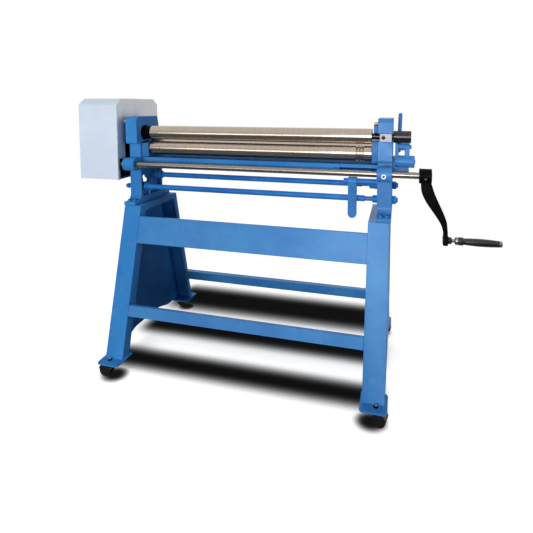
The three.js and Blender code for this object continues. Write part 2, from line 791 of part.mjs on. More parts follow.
function swivelBearing() {
  const centreX = -(headInnerX + swivelX);
  const steps = 3;
  const zone = Array.from({ length: 2 * steps + 1 }, (_, i) => {
    const x = ballHalfWidth * (i - steps) / steps;
    return [centreX + x, Math.sqrt(ballRadius ** 2 - x ** 2)];
  });
  const collarX = -headInnerX + collarStart;
  const collarTip = rollStartX - collarEndGap;
  const bevel = 4;
  return cut(
    turned([
      [centreX - ballHalfWidth, 0], ...zone, [centreX + ballHalfWidth, collarRadius - bevel],
      [collarX, collarRadius - bevel], [collarX + bevel / 2, collarRadius], [collarTip - bevel, collarRadius],
      [collarTip, collarRadius - bevel], [collarTip, 0],
    ], rollY, upperRollZ, 24),
    rodX(upperJournalRadius + runningFit, centreX - 2 * ballHalfWidth, rollStartX, rollY, upperRollZ, 20),
  );
}

function slotBlock() {
  const xa = headInnerX + slotBlockFromFace;
  const xb = xa + slotBlockWidth;
  const frontY = headFrontY + slotBlockFrontInset;
  const half = slotHeight / 2 - gap;
  return cut(
    box(xa, xb, frontY, rollY + slotBlockBehindAxis, upperRollZ - half, upperRollZ + half),
    rodX(upperTipRadius + runningFit, xa - cutOver, xb + cutOver, rollY, upperRollZ, rollSides),
    rodY(slotScrewRadius, xa + 13, frontY - cutOver, frontY + 9, upperRollZ, 16),
  );
}

function endSleeve() {
  const xa = headOuterX + sleeveFromHead;
  const xb = headOuterX + sleeveEnd;
  const chamfer = sleeveChamfer;
  return cut(
    turned([
      [xa, 0], [xa, sleeveRadius - chamfer], [xa + chamfer, sleeveRadius], [xb - chamfer, sleeveRadius],
      [xb, sleeveRadius - chamfer], [xb, 0],
    ], rollY, upperRollZ, 32),
    rodX(upperTipRadius + runningFit, xa - cutOver, xb - sleeveWall, rollY, upperRollZ, rollSides),
  );
}

function guidePlate(xa, za, zb) {
  const roundCorner = 5;
  const plate = prismX(roundedRectangle(headFrontY + 5, rollY + slotBlockBehindAxis + 8, za, zb, roundCorner),
    xa, headInnerX - gap);
  return plate;
}

function lowerGuidePlate() {
  const holeRadius = journalRadius + 1.5;
  const xa = rollEndX + 7;
  const hole = [
    ...arc(rollY, lowerRollZ + pinchTravel, holeRadius, 0, 180, 8),
    ...arc(rollY, lowerRollZ, holeRadius, 180, 360, 8),
  ];
  return cut(
    guidePlate(xa, lowerRollZ - rollRadius, upperRollZ - slotHeight / 2),
    prismX(hole, xa - cutOver, headInnerX),
  );
}

function upperGuidePlate() {
  const zb = upperRollZ + slotHeight / 2 + 32;
  return guidePlate(rollEndX + 13, upperRollZ + slotHeight / 2, zb);
}

function guideCap() {
  const za = upperRollZ + slotHeight / 2 + 32 + gap;
  const outlinePoints = roundedRectangle(headFrontY + 6, headFrontY + 40, za, za + 10, 3);
  return prismX(outlinePoints, rollEndX + 13.5, headInnerX - 2 * gap);
}

const upperBearings = new THREE.Group();
upperBearings.add(piece('swivel_bearing', swivelBearing(), 'blackCast'));
upperBearings.add(piece('slot_bearing_block', slotBlock(), 'steel'));
upperBearings.add(piece('end_sleeve', endSleeve(), 'blackPlastic'));
upperBearings.add(piece('guide_plate_lower', lowerGuidePlate(), 'lightPaint'));
upperBearings.add(piece('guide_plate_upper', upperGuidePlate(), 'lightPaint'));
upperBearings.add(piece('guide_cap', guideCap(), 'brass'));

// Gear train

const crankAngle = Math.atan2(stubZ - crankZ, rollY - crankY);
const up = Math.PI / 2;

function crankPinion() {
  const xa = -(headInnerX + outerGearX);
  const teeth = gearOutline(pinionModule, pinionTeeth, crankAngle, crankY, crankZ);
  return cut(
    prismX(teeth, xa - outerGearWidth, xa),
    rodX(upperTipRadius + gap, xa - outerGearWidth - cutOver, xa + cutOver, crankY, crankZ),
  );
}

function stubGear() {
  const outer = -(headInnerX + outerGearX);
  const inner = -(headInnerX + innerGearX);
  const wheelAngle = crankAngle + Math.PI + Math.PI / wheelTeeth;
  return cut(
    join(
      prismX(gearOutline(pinionModule, wheelTeeth, wheelAngle, rollY, stubZ), outer - outerGearWidth, outer),
      rodX(24, outer - 2, inner - innerGearWidth + 2, rollY, stubZ),
      prismX(gearOutline(rollGearModule, driverTeeth, up, rollY, stubZ), inner - innerGearWidth, inner),
    ),
    rodX(stubRadius + runningFit, outer - outerGearWidth - cutOver, inner + cutOver, rollY, stubZ),
  );
}

function lowerGear() {
  const xb = -(headInnerX + innerGearX);
  const teeth = gearOutline(rollGearModule, rollGearTeeth, -up + Math.PI / rollGearTeeth, rollY, lowerRollZ);
  return cut(
    prismX(teeth, xb - innerGearWidth, xb),
    rodX(stubRadius + gap, xb - innerGearWidth - cutOver, xb + cutOver, rollY, lowerRollZ, rollSides),
  );
}

function upperGear() {
  const xb = -(headInnerX + innerGearX);
  const shaftTip = -(headInnerX + swivelX + 11) - 4;
  const toothAngle = -up;
  return join(
    prismX(gearOutline(rollGearModule, rollGearTeeth, toothAngle, rollY, upperRollZ), xb - innerGearWidth, xb),
    rodX(journalRadius, xb - innerGearWidth - 3, shaftTip, rollY, upperRollZ),
    box(shaftTip - cutOver, shaftTip + dogLength, rollY - dogThickness / 2, rollY + dogThickness / 2,
      upperRollZ - 9, upperRollZ + 9),
  );
}

function stubPin() {
  const seat = -(headInnerX + stubSeatDepth + gap);
  const tip = -(headInnerX + outerGearX + outerGearWidth + gap);
  return join(
    rodX(stubRadius, tip - 4, seat, rollY, stubZ),
    rodX(stubRadius + 5, tip - 7, tip, rollY, stubZ),
  );
}

function upperBearingCap() {
  const face = -(headOuterX + gap);
  return cut(
    join(rodX(45, face - 14, face, rollY, upperRollZ, 32), rodX(24, face - 30, face - 13, rollY, upperRollZ)),
    rodX(journalRadius + runningFit, face - 31, face + cutOver, rollY, upperRollZ),
  );
}

const gearTrain = new THREE.Group();
gearTrain.add(piece('crank_pinion', crankPinion(), 'gearSteel'));
gearTrain.add(piece('reduction_gear', stubGear(), 'gearSteel'));
gearTrain.add(piece('lower_roll_gear', lowerGear(), 'gearSteel'));
gearTrain.add(piece('upper_roll_gear', upperGear(), 'gearSteel'));
gearTrain.add(piece('reduction_stub', stubPin(), 'steel'));
gearTrain.add(piece('upper_bearing_cap', upperBearingCap(), 'paint'));

// Gear cover

function coverOutline(inset) {
  const y = coverHalfDepth - inset;
  const top = coverTopZ - inset;
  const drop = coverChamferZ;
  const along = coverChamferY;
  return [
    [-y, coverBottomZ + inset], [y, coverBottomZ + inset], [y, top - drop],
    [y - along, top], [-y + along, top], [-y, top - drop],
  ];
}

function gearCover() {
  const xb = -(headInnerX + coverInnerX + coverSheet + gap);
  const xa = -(headInnerX + coverInnerX + coverLength);
  return cut(
    prismX(coverOutline(0), xa, xb),
    prismX(coverOutline(coverSheet), xa + coverSheet, xb + cutOver),
  );
}

function coverBackPlate() {
  const xb = -(headInnerX + coverInnerX);
  const xa = xb - coverSheet;
  const headFace = -(headOuterX + gap);
  const besideOpening = spacerRadius + 1;
  const openingBackY = rollY + bearingOpeningBack;
  const openingTopZ = upperRollZ + bearingOpeningAbove;
  const spacers = [
    [rollY - bearingOpeningFront + 3, openingTopZ + besideOpening],
    [headRearTopY - 2 * spacerRadius, openingTopZ + besideOpening],
    [openingBackY + besideOpening, pocketTopZ + 2 * besideOpening],
    [headRearY - besideOpening, coverBottomZ + 2 * besideOpening],
  ].map(([y, z]) => rodX(spacerRadius, xb - coverSheet / 2, headFace, y, z, 12));
  return cut(
    join(prismX(coverOutline(0), xa, xb), ...spacers),
    box(xa - cutOver, xb + cutOver, rollY - bearingOpeningFront, openingBackY,
      stubZ - bearingOpeningBelow, openingTopZ),
    box(xa - cutOver, xb + cutOver, crankY - shaftSlotFront, rollY,
      coverBottomZ - cutOver, crankZ + shaftSlotAbove),
  );
}

const guards = new THREE.Group();
guards.add(piece('gear_cover', gearCover(), 'coverPaint'));
guards.add(piece('cover_back_plate', coverBackPlate(), 'greySheet'));

// Crank

function crankShaft() {
  const pinionX = -(headInnerX + outerGearX);
  return turned([
    [pinionX - outerGearWidth - 4, 0], [pinionX - outerGearWidth - 4, upperTipRadius],
    [pinionX + 6, upperTipRadius], [pinionX + 6, crankShaftRadius],
    [hubStartX + hubLength - 2, crankShaftRadius], [hubStartX + hubLength - 2, 0],
  ], crankY, crankZ, 24);
}

// The arm bends outwards from the hub to the lower boss in one long S.
function crankArm() {
  const hubEndX = hubStartX + hubLength;
  const hubX = hubStartX + hubLength / 2;
  const bossZ = crankZ - crankRadius;
  const edge = (side) => armStations.map(
    ([down, across, half]) => [hubX + armOffset * across + side * half, crankZ - crankRadius * down],
  );
  const arm = prismY([...edge(-1), ...edge(1).toReversed()], crankY - armDepth / 2, crankY + armDepth / 2);
  return cut(
    join(
      rodX(hubRadius, hubStartX, hubEndX, crankY, crankZ, 28),
      arm,
      rodX(lowerBossRadius, lowerBossEndX - lowerBossLength, lowerBossEndX, crankY, bossZ),
    ),
    rodX(crankShaftRadius + gap, hubStartX - cutOver, hubEndX - 2 + gap, crankY, crankZ),
    rodX(spindleRadius + gap, lowerBossEndX - lowerBossLength - cutOver, lowerBossEndX + cutOver,
      crankY, bossZ),
  );
}

function gripSpindle() {
  const z = crankZ - crankRadius;
  const start = lowerBossEndX - lowerBossLength;
  const nutStart = lowerBossEndX + gap;
  const nutEnd = lowerBossEndX + spindleNutLength;
  const flangeEnd = gripStartX + gripFlangeLength;
  const gripEnd = gripStartX + gripLength;
  const coreRadius = spindleRadius - 2;
  const capRadius = spindleRadius + 3.5;
  return turned([
    [start, 0], [start, spindleRadius], [nutStart, spindleRadius], [nutStart, spindleNutRadius],
    [nutEnd, spindleNutRadius], [nutEnd, spindleRadius], [gripStartX, spindleRadius],
    [gripStartX, gripFlangeRadius],
    [flangeEnd, gripFlangeRadius], [flangeEnd, coreRadius], [gripEnd, coreRadius], [gripEnd, capRadius],
    [gripEnd + gripCapLength, capRadius - 1], [gripEnd + gripCapLength, 0],
  ], crankY, z, 20);
}

function crankGrip() {
  const z = crankZ - crankRadius;
  const xa = gripStartX + gripFlangeLength + gap;
  const xb = gripStartX + gripLength - gap;
  const waist = gripFlangeRadius - 3.7;
  const bulge = Array.from({ length: 8 }, (_, i) => {
    const t = i / 7;
    return [xa + 20 + (xb - 2 - xa - 20) * t, waist + 2.6 * Math.sin(Math.PI * Math.min(1, t * 0.92 + 0.06))];
  });
  return cut(
    turned([
      [xa, 0], [xa, gripFlangeRadius - 1], [xa + 2, gripFlangeRadius + 0.2], [xa + 14, gripFlangeRadius + 0.2],
      [xa + 18, waist + 1.2], ...bulge, [xb, waist - 0.8], [xb, 0],
    ], crankY, z, 24),
    rodX(spindleRadius - 2 + runningFit, xa - cutOver, xb + cutOver, crankY, z),
  );
}

const crank = new THREE.Group();
crank.add(piece('crank_shaft', crankShaft(), 'steel'));
crank.add(piece('crank_arm', crankArm(), 'blackCast'));
crank.add(piece('grip_spindle', gripSpindle(), 'steel'));
crank.add(piece('crank_grip', crankGrip(), 'blackPlastic'));

// Tie rods and beam

function tieRod(y, z, inset, collarRadius, gearSideEnd) {
  const seat = headInnerX - inset - gap;
  const outside = headOuterX + gap;
  const thin = tieRodTipRadius - 1;
  const crankCollar = seat - rodCollarLength - 4;
  return turned([
    ...gearSideEnd, [-outside, tieRodTipRadius], [-seat, tieRodTipRadius], [-seat, collarRadius],
    [-seat + rodCollarLength, collarRadius], [-seat + rodCollarLength, tieRodRadius],
    [seat - rodStep, tieRodRadius], [seat - rodStep, thin], [crankCollar, thin],
    [crankCollar, collarRadius - 1],
    [seat, collarRadius - 1], [seat, tieRodTipRadius], [outside + rodHexTip, tieRodTipRadius],
    [outside + rodHexTip, 0],
  ], y, z, 20);
}

function frontTieRod() {
  const nutStart = -headOuterX - rodNutStart;
  const nutEnd = nutStart - rodNutLength;
  const tip = nutEnd - rodNutTip;
  const tipRadius = rodNutRadius - 4.5;
  return tieRod(frontRodY, frontRodZ, 0, frontCollarRadius, [
    [tip, 0], [tip, tipRadius], [nutEnd, tipRadius], [nutEnd, rodNutRadius], [nutStart, rodNutRadius],
    [nutStart, tieRodTipRadius - 2], [-headOuterX - gap, tieRodTipRadius - 2],
  ]);
}

function rearTieRod() {
  const tip = -headOuterX - 9;
  return tieRod(rearRodY, rearRodZ, rearRodBossLength, rearCollarRadius, [
    [tip, 0], [tip, tieRodTipRadius - 2], [-headOuterX - gap, tieRodTipRadius - 2],
  ]);
}

function tieRodNut() {
  return cut(
    rodX(rodHexRadius, 0, rodHexLength, 0, 0, 6),
    rodX(tieRodTipRadius + gap, -cutOver, rodHexLength + cutOver, 0, 0, 20),
  );
}

function tieBeam() {
  const end = headInnerX - gap;
  const backY = beamFrontY + beamDepth;
  const lipBottom = beamTopZ - beamLipHeight;
  const earBottom = springZ - 12;
  const earX = springStartX - springEar;
  const angle = cut(
    join(
      box(-end, end, beamFrontY, backY, beamTopZ - beamSheet, beamTopZ),
      box(-end, end, beamFrontY, beamFrontY + beamSheet, lipBottom, beamTopZ),
    ),
    box(earX - springRodTail - 2, end + cutOver, beamFrontY - cutOver, beamFrontY + beamSheet + cutOver,
      lipBottom - cutOver, springZ + springOuterRadius + 1),
  );
  return cut(
    join(angle, box(earX, springStartX, springY - 9, springY + 14, earBottom, beamTopZ)),
    rodX(springRodRadius + runningFit, earX - cutOver, springStartX + cutOver, springY, springZ, 12),
  );
}

// One unbroken round wire wound into a helix along X, its two ends straight along the last tangent.
function spring() {
  const stepsPerCurl = 8;
  const wireSides = 5;
  const xa = springStartX + gap + springWireRadius;
  const xb = headInnerX - gap - springCollarLength - gap - springWireRadius;
  const coil = springOuterRadius - springWireRadius;
  const turns = springCurls * stepsPerCurl;
  const centres = Array.from({ length: turns + 1 }, (_, i) => {
    const angle = 2 * Math.PI * i / stepsPerCurl;
    return new THREE.Vector3(
      xa + (xb - xa) * i / turns, springY + coil * Math.cos(angle), springZ + coil * Math.sin(angle),
    );
  });
  const straight = (end, next) => end.clone().add(
    end.clone().sub(next).setX(0).normalize().multiplyScalar(2 * springWireRadius),
  );
  const path = [straight(centres[0], centres[1]), ...centres, straight(centres[turns], centres[turns - 1])];
  const axis = new THREE.Vector3(1, 0, 0);
  const places = [];
  path.forEach((point, i) => {
    const before = path[Math.max(0, i - 1)];
    const after = path[Math.min(path.length - 1, i + 1)];
    const tangent = after.clone().sub(before).normalize();
    const outward = tangent.clone().cross(axis).normalize();
    const sideways = tangent.clone().cross(outward).normalize();
    for (let k = 0; k < wireSides; k++) {
      const angle = 2 * Math.PI * k / wireSides;
      const place = point.clone().addScaledVector(outward, springWireRadius * Math.cos(angle))
        .addScaledVector(sideways, springWireRadius * Math.sin(angle));
      places.push(place.x, place.y, place.z);
    }
  });
  const faces = [];
  for (let i = 0; i + 1 < path.length; i++) {
    for (let k = 0; k < wireSides; k++) {
      const a = i * wireSides + k;
      const b = i * wireSides + (k + 1) % wireSides;
      faces.push(a, a + wireSides, b, b, a + wireSides, b + wireSides);
    }
  }
  const last = (path.length - 1) * wireSides;
  for (let k = 1; k + 1 < wireSides; k++) {
    faces.push(0, k, k + 1, last, last + k + 1, last + k);
  }
  let leastGap = Infinity;
  for (let i = 0; i < path.length; i++) {
    for (let j = i + stepsPerCurl - 2; j < path.length; j++) {
      leastGap = Math.min(leastGap, path[i].distanceTo(path[j]) - 2 * springWireRadius);
    }
  }
  console.log(`lock_spring least gap to itself ${leastGap.toFixed(2)} mm`);
  const geometry = new THREE.BufferGeometry();
  geometry.setAttribute('position', new THREE.Float32BufferAttribute(places, 3));
  geometry.setIndex(faces);
  return toSolid(geometry);
}

function springRod() {
  const collarEnd = headInnerX - gap;
  const earX = springStartX - springEar;
  const start = earX - springRodTail;
  return join(
    rodX(springRodRadius, start, headInnerX + pocketDepth - 5, springY, springZ, 12),
    rodX(springCollarRadius, collarEnd - springCollarLength, collarEnd, springY, springZ, 16),
    rodX(springCollarRadius, start, earX - gap, springY, springZ, 16),
  );
}

const ties = new THREE.Group();
ties.add(piece('tie_rod_front', frontTieRod(), 'paint'));
ties.add(piece('tie_rod_rear', rearTieRod(), 'paint'));
for (const [label, y, z] of [['front', frontRodY, frontRodZ], ['rear', rearRodY, rearRodZ]]) {
  const nut = piece(`tie_rod_nut_${label}`, tieRodNut(), 'paint');
  nut.position.set(headOuterX + gap, y, z);
  ties.add(nut);
}
ties.add(piece('tie_beam', tieBeam(), 'paint'));
ties.add(piece('lock_spring', spring(), 'paint'));
ties.add(piece('spring_rod', springRod(), 'paint'));

// Roll lock lever on its cross shaft

function lockShaft() {
  const xb = headInnerX + headWidth - pocketDepth - 1;
  return rodX(lockShaftRadius, lockShaftStartX, xb, lockShaftY, lockShaftZ);
}

function strapLever() {
  const xb = strapStartX + strapWidth;
  const half = strapWidth / 2;
  const tipZ = lockShaftZ - strapLength + half;
  const frontY = lockShaftY - lockHubRadius + 1;
  const strap = prismY([
    [strapStartX, lockShaftZ], ...arc(strapStartX + half, tipZ, half, 180, 360, 8), [xb, lockShaftZ],
  ], frontY, frontY + strapThickness);
  return cut(
    join(strap, rodX(lockHubRadius, strapStartX, xb, lockShaftY, lockShaftZ)),
    rodX(lockShaftRadius + gap, strapStartX - cutOver, xb + cutOver, lockShaftY, lockShaftZ),
  );
}

// Release lever, a small frame that stands on its pivot and holds the sleeve up from below

function releaseBracket() {
  const face = headOuterX + gap;
  const halfWidth = releaseHubRadius + 1;
  const barTop = releaseZ - releaseHubRadius - 2;
  const plate = 8;
  const pinEnd = face + plate + releaseHubLength + 3;
  const barBottom = barTop - releaseBarThickness;
  return join(
    box(face, face + plate, rollY - halfWidth, rollY + halfWidth, barBottom - 4, releaseZ + 20),
    box(face + plate - cutOver, pinEnd - 23, rollY - halfWidth, rollY + halfWidth, barBottom, barTop),
    rodX(releasePinRadius, face + plate - cutOver, pinEnd, rollY, releaseZ),
  );
}

function releaseLever() {
  const face = headOuterX + gap + 8 + gap;
  const knuckleZ = upperRollZ - sleeveRadius - knuckleRadius - 0.5;
  const behindY = rollY + sleeveRadius + releaseRodBehindSleeve + releaseRodRadius;
  const rodX0 = face + releasePlate + 1;
  const lugZ = knuckleZ - knuckleRadius - 5;
  const foot = new THREE.Vector3(rodX0, behindY, lugZ);
  const tip = new THREE.Vector3(rodX0 + 3, behindY + 4, upperRollZ + releaseLeverTopRise - releaseRodRadius);
  return cut(
    join(
      rodX(releaseHubRadius, face, face + releaseHubLength, rollY, releaseZ, 28),
      box(face, face + releasePlate, rollY - 19, rollY + 19, releaseZ, knuckleZ + knuckleRadius - 2),
      box(face + 36, face + knuckleLength, rollY - 13, rollY + 13, releaseZ, knuckleZ + 4),
      rodX(knuckleRadius, face, face + knuckleLength, rollY, knuckleZ, 20),
      rodX(8, face + knuckleLength - cutOver, face + knuckleLength + 7, rollY, knuckleZ, 6),
      box(face, face + releasePlate, rollY, behindY + 5, lugZ - 11, lugZ + 11),
      rodBetween(foot, tip, releaseRodRadius),
      ball(releaseRodRadius, foot),
      ball(releaseRodRadius, tip),
    ),
    rodX(releasePinRadius + runningFit, face - cutOver, face + releaseHubLength + cutOver, rollY, releaseZ),
  );
}

const levers = new THREE.Group();
levers.add(piece('lock_shaft', lockShaft(), 'paint'));
levers.add(piece('strap_lever', strapLever(), 'paint'));
levers.add(piece('release_bracket', releaseBracket(), 'paint'));
levers.add(piece('release_lever', releaseLever(), 'paint'));

// Casters: a hooded swivel body with its stem, and a pair of wheels on one axle

function casterBody() {
  const topZ = footPlateTopZ - footPlateThickness - gap;
  const neckHalf = casterWheelInner - 1;
  const hoodInner = casterWheelRadius + hoodClearance;
  const hoodOuter = hoodInner + hoodSheet;
  const hoodHalf = casterWheelOuter - 1;
  const hood = prismX([
    ...arc(-casterTrail, casterWheelRadius, hoodOuter, 12, 168, 10),
    ...arc(-casterTrail, casterWheelRadius, hoodInner, 168, 12, 10),
  ], -hoodHalf, hoodHalf);
  const neck = prismX([
    [-casterTrail - 12, casterWheelRadius - 8], [-casterTrail + 12, casterWheelRadius - 8],
    [8, casterWheelRadius + 12], [8, topZ - 2],
    ...arc(-casterTrail, casterWheelRadius, hoodOuter - cutOver / 2, 60, 168, 6),
  ], -neckHalf, neckHalf);
  return cut(
    join(
      rodZ(casterStemRadius, 0, 0, topZ - 3, footPlateTopZ + casterStemTop, 16),
      rodZ(15, 0, 0, casterWheelRadius * 2, topZ, 20),
      neck,
      hood,
    ),
    rodX(4 + runningFit, -casterWheelOuter, casterWheelOuter, -casterTrail, casterWheelRadius, 16),
  );
}

function casterWheels() {
  const bevel = 3;
  const half = [
    [casterWheelInner, 4], [casterWheelInner, casterWheelRadius - bevel],
    [casterWheelInner + bevel, casterWheelRadius], [casterWheelOuter - bevel, casterWheelRadius],
    [casterWheelOuter, casterWheelRadius - bevel], [casterWheelOuter, 0],
  ];
  const mirrored = half.map(([x, r]) => [-x, r]).toReversed();
  return turned([...mirrored, ...half], 0, 0, 20);
}

const casters = new THREE.Group();
for (const [endLabel, toFront] of [['front', 1], ['rear', -1]]) {
  for (const [sideLabel, side] of [['left', -1], ['right', 1]]) {
    const caster = new THREE.Group();
    caster.position.set(side * casterX, -toFront * casterY, 0);
    caster.rotation.z = THREE.MathUtils.degToRad(casterTurns[`${endLabel}_${sideLabel}`]);
    caster.add(piece(`caster_body_${endLabel}_${sideLabel}`, casterBody(), 'blackPlastic'));
    const wheels = piece(`caster_wheels_${endLabel}_${sideLabel}`, casterWheels(), 'rubber');
    wheels.position.set(0, -casterTrail, casterWheelRadius);
    caster.add(wheels);
    casters.add(caster);
  }
}

// The whole machine stands on its origin at the middle of its outline.
const machine = new THREE.Group();
machine.add(stand, heads, blocks, rolls, upperBearings, gearTrain, guards, crank, ties, levers, casters);
machine.updateMatrixWorld(true);
const bounds = new THREE.Box3().setFromObject(machine, true);
const middle = bounds.getCenter(new THREE.Vector3());
machine.position.set(-middle.x, -middle.y, -bounds.min.z);
machine.updateMatrixWorld(true);

export default machine;
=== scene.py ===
import json
import math

import bmesh
import bpy
from mathutils import Matrix, Vector


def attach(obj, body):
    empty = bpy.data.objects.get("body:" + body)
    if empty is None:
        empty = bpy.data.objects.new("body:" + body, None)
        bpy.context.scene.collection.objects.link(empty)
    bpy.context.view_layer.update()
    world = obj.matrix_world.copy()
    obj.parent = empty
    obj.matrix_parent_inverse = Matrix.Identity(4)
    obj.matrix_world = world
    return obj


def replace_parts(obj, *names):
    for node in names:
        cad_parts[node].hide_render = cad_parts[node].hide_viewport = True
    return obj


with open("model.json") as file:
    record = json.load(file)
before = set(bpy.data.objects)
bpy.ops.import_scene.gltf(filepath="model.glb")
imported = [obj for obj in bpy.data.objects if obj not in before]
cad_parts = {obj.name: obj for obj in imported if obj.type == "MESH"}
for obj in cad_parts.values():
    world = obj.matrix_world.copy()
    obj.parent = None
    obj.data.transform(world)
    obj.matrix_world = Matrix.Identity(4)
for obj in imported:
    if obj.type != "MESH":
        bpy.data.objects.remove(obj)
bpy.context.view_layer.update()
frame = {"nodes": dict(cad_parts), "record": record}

nodes = frame["nodes"]
body_of_node = {n: b for b, ns in frame["record"]["behaviour"]["bodies"].items() for n in ns}

# Sizes in millimetres, measured from the middle between the heads, the stand's middle and the floor.
MIDDLE_X = 85.5                        # from there to the middle of the whole machine's box
ROLL_RADIUS = 31.0
ROLL_Y, UPPER_Z, LOWER_Z = -70.0, 997.0, 929.0
REAR_Y, REAR_Z = 12.0, 930.0
CRANK_Y, CRANK_Z = -147.986, 858.5
GRIP_Z = CRANK_Z - 236
ROLL_START, ROLL_END = -481.0, 491.0
FACE_SHOWN_TO = 496.5                  # the ground faces are shown a little longer than the solids'
HEAD_IN, HEAD_OUT = 519.0, 575.0       # inner and outer faces of the heads
HEAD_FRONT = -135.9                    # the plane that the guide plates' screws sit on
STAND_TOP = 676.0
RODS = {"front": (-80, 749), "rear": (24, 790)}  # Y and Z of the tie rods
SPRING_Y, SPRING_ROD_Z, SPRING_Z = -97, 864, 864.4
GAP = 0.3                              # clearance between a turned piece and the face it sits on


def at(x, y, z):
    return Vector(((x - MIDDLE_X) / 1000, y / 1000, z / 1000))


# Materials

def srgb(r, g, b):
    def lin(c):
        c /= 255
        return c / 12.92 if c <= 0.04045 else ((c + 0.055) / 1.055) ** 2.4
    return (lin(r), lin(g), lin(b), 1)


class Nodes:
    def __init__(self, name):
        self.material = bpy.data.materials.new(name)
        self.material.use_nodes = True
        self.tree = self.material.node_tree
        self.shader = self.tree.nodes["Principled BSDF"]
        self.coords = self.tree.nodes.new("ShaderNodeTexCoord").outputs["Object"]

    def new(self, kind, **values):
        node = self.tree.nodes.new("ShaderNode" + kind)
        for key, value in values.items():
            if hasattr(node, key):
                setattr(node, key, value)
            else:
                node.inputs[key.replace("_", " ")].default_value = value
        return node

    def link(self, a, b):
        self.tree.links.new(a, b)

    def stretched(self, scale):
        mapping = self.new("Mapping")
        mapping.inputs["Scale"].default_value = scale
        self.link(self.coords, mapping.inputs["Vector"])
        return mapping.outputs["Vector"]

    def noise(self, scale, detail=3.0, roughness=0.55, vector=None):
        node = self.new("TexNoise", Scale=scale, Detail=detail, Roughness=roughness)
        self.link(vector or self.coords, node.inputs["Vector"])
        return node.outputs["Fac"]

    def span(self, value, low, high, from_low=0.0, from_high=1.0):
        node = self.new("MapRange")
        self.link(value, node.inputs["Value"])
        limits = {"From Min": from_low, "From Max": from_high, "To Min": low, "To Max": high}
        for key, number in limits.items():
            node.inputs[key].default_value = number
        return node.outputs["Result"]

    def mix(self, factor, a, b):
        node = self.tree.nodes.new("ShaderNodeMix")
        node.data_type = "RGBA"
        for socket, value in ((node.inputs[0], factor), (node.inputs[6], a), (node.inputs[7], b)):
            if isinstance(value, (int, float, tuple)):
                socket.default_value = value
            else:
                self.link(value, socket)
        return node.outputs[2]

    def bump(self, height, strength, distance, normal=None):
        node = self.new("Bump", Strength=strength, Distance=distance)
        self.link(height, node.inputs["Height"])
        if normal:
            self.link(normal, node.inputs["Normal"])
        self.link(node.outputs["Normal"], self.shader.inputs["Normal"])
        return node.outputs["Normal"]

    def set(self, **values):
        for key, value in values.items():
            socket = self.shader.inputs[key.replace("_", " ")]
            if isinstance(value, (int, float, tuple)):
                socket.default_value = value
            else:
                self.link(value, socket)
        return self


def grey(v):
    return (v, v, v, 1)


def paint(name, colour, shade, roughness, peel=0.25, cast=0.0, dust=0.06, gloss=0.2, metallic=0.0):
    """Sprayed enamel: cloudy tone, orange peel, a little dust, and a sand-cast skin where cast is set."""
    n = Nodes(name)
    cloud = n.noise(5.5, 4)
    tone = n.mix(n.span(cloud, 0.0, 1.0, 0.3, 0.7), colour, shade)
    speck = n.span(n.noise(140, 2), 0, 1, 0.62, 0.75)
    scuff = n.span(n.noise(18, 5, 0.7), 0, dust, 0.55, 0.75)
    pale = n.mix(scuff, tone, srgb(190, 200, 208))
    final = n.mix(n.span(speck, 0, 0.10), pale, shade)
    n.set(Base_Color=final, Roughness=n.span(n.noise(40, 4), roughness - 0.06, roughness + 0.1))
    n.shader.inputs["Specular IOR Level"].default_value = gloss
    n.shader.inputs["Metallic"].default_value = metallic
    skin = n.bump(n.noise(420, 2), peel, 0.0002)
    if cast:
        n.bump(n.noise(160, 5, 0.65), cast, 0.0006, skin)
    return n.material


def machined(name, colour, shade, roughness, stretch, depth, uneven=0.08):
    """Turned or ground metal: fine lines across the stretched axis and a few duller patches."""
    n = Nodes(name)
    lines = n.noise(1.0, 5, 0.7, n.stretched(stretch))
    patches = n.noise(7, 4)
    tone = n.mix(n.span(lines, 0, 1, 0.3, 0.7), colour, shade)
    final = n.mix(n.span(patches, 0, 0.45, 0.5, 0.72), tone, shade)
    dull = n.span(patches, roughness, roughness + uneven, 0.3, 0.75)
    n.set(Base_Color=final, Roughness=dull, Metallic=1.0)
    n.bump(lines, depth, 0.0002)
    return n.material


def black(name, colour, shade, roughness, grain, depth, metallic=0.0, gloss=0.18, wear_tone=0.07):
    """Black casting, plastic or rubber, told apart by its grain and gloss."""
    n = Nodes(name)
    rough_grain = n.noise(grain, 5, 0.65)
    tone = n.mix(n.span(n.noise(25, 4), 0, 1, 0.35, 0.7), colour, shade)
    wear = n.span(n.noise(60, 6, 0.75), 0, 0.25, 0.62, 0.8)
    n.set(
        Base_Color=n.mix(wear, tone, grey(wear_tone)),
        Roughness=n.span(rough_grain, roughness - 0.08, roughness + 0.12),
        Metallic=metallic,
    )
    n.shader.inputs["Specular IOR Level"].default_value = gloss
    n.bump(rough_grain, depth, 0.0005)
    return n.material


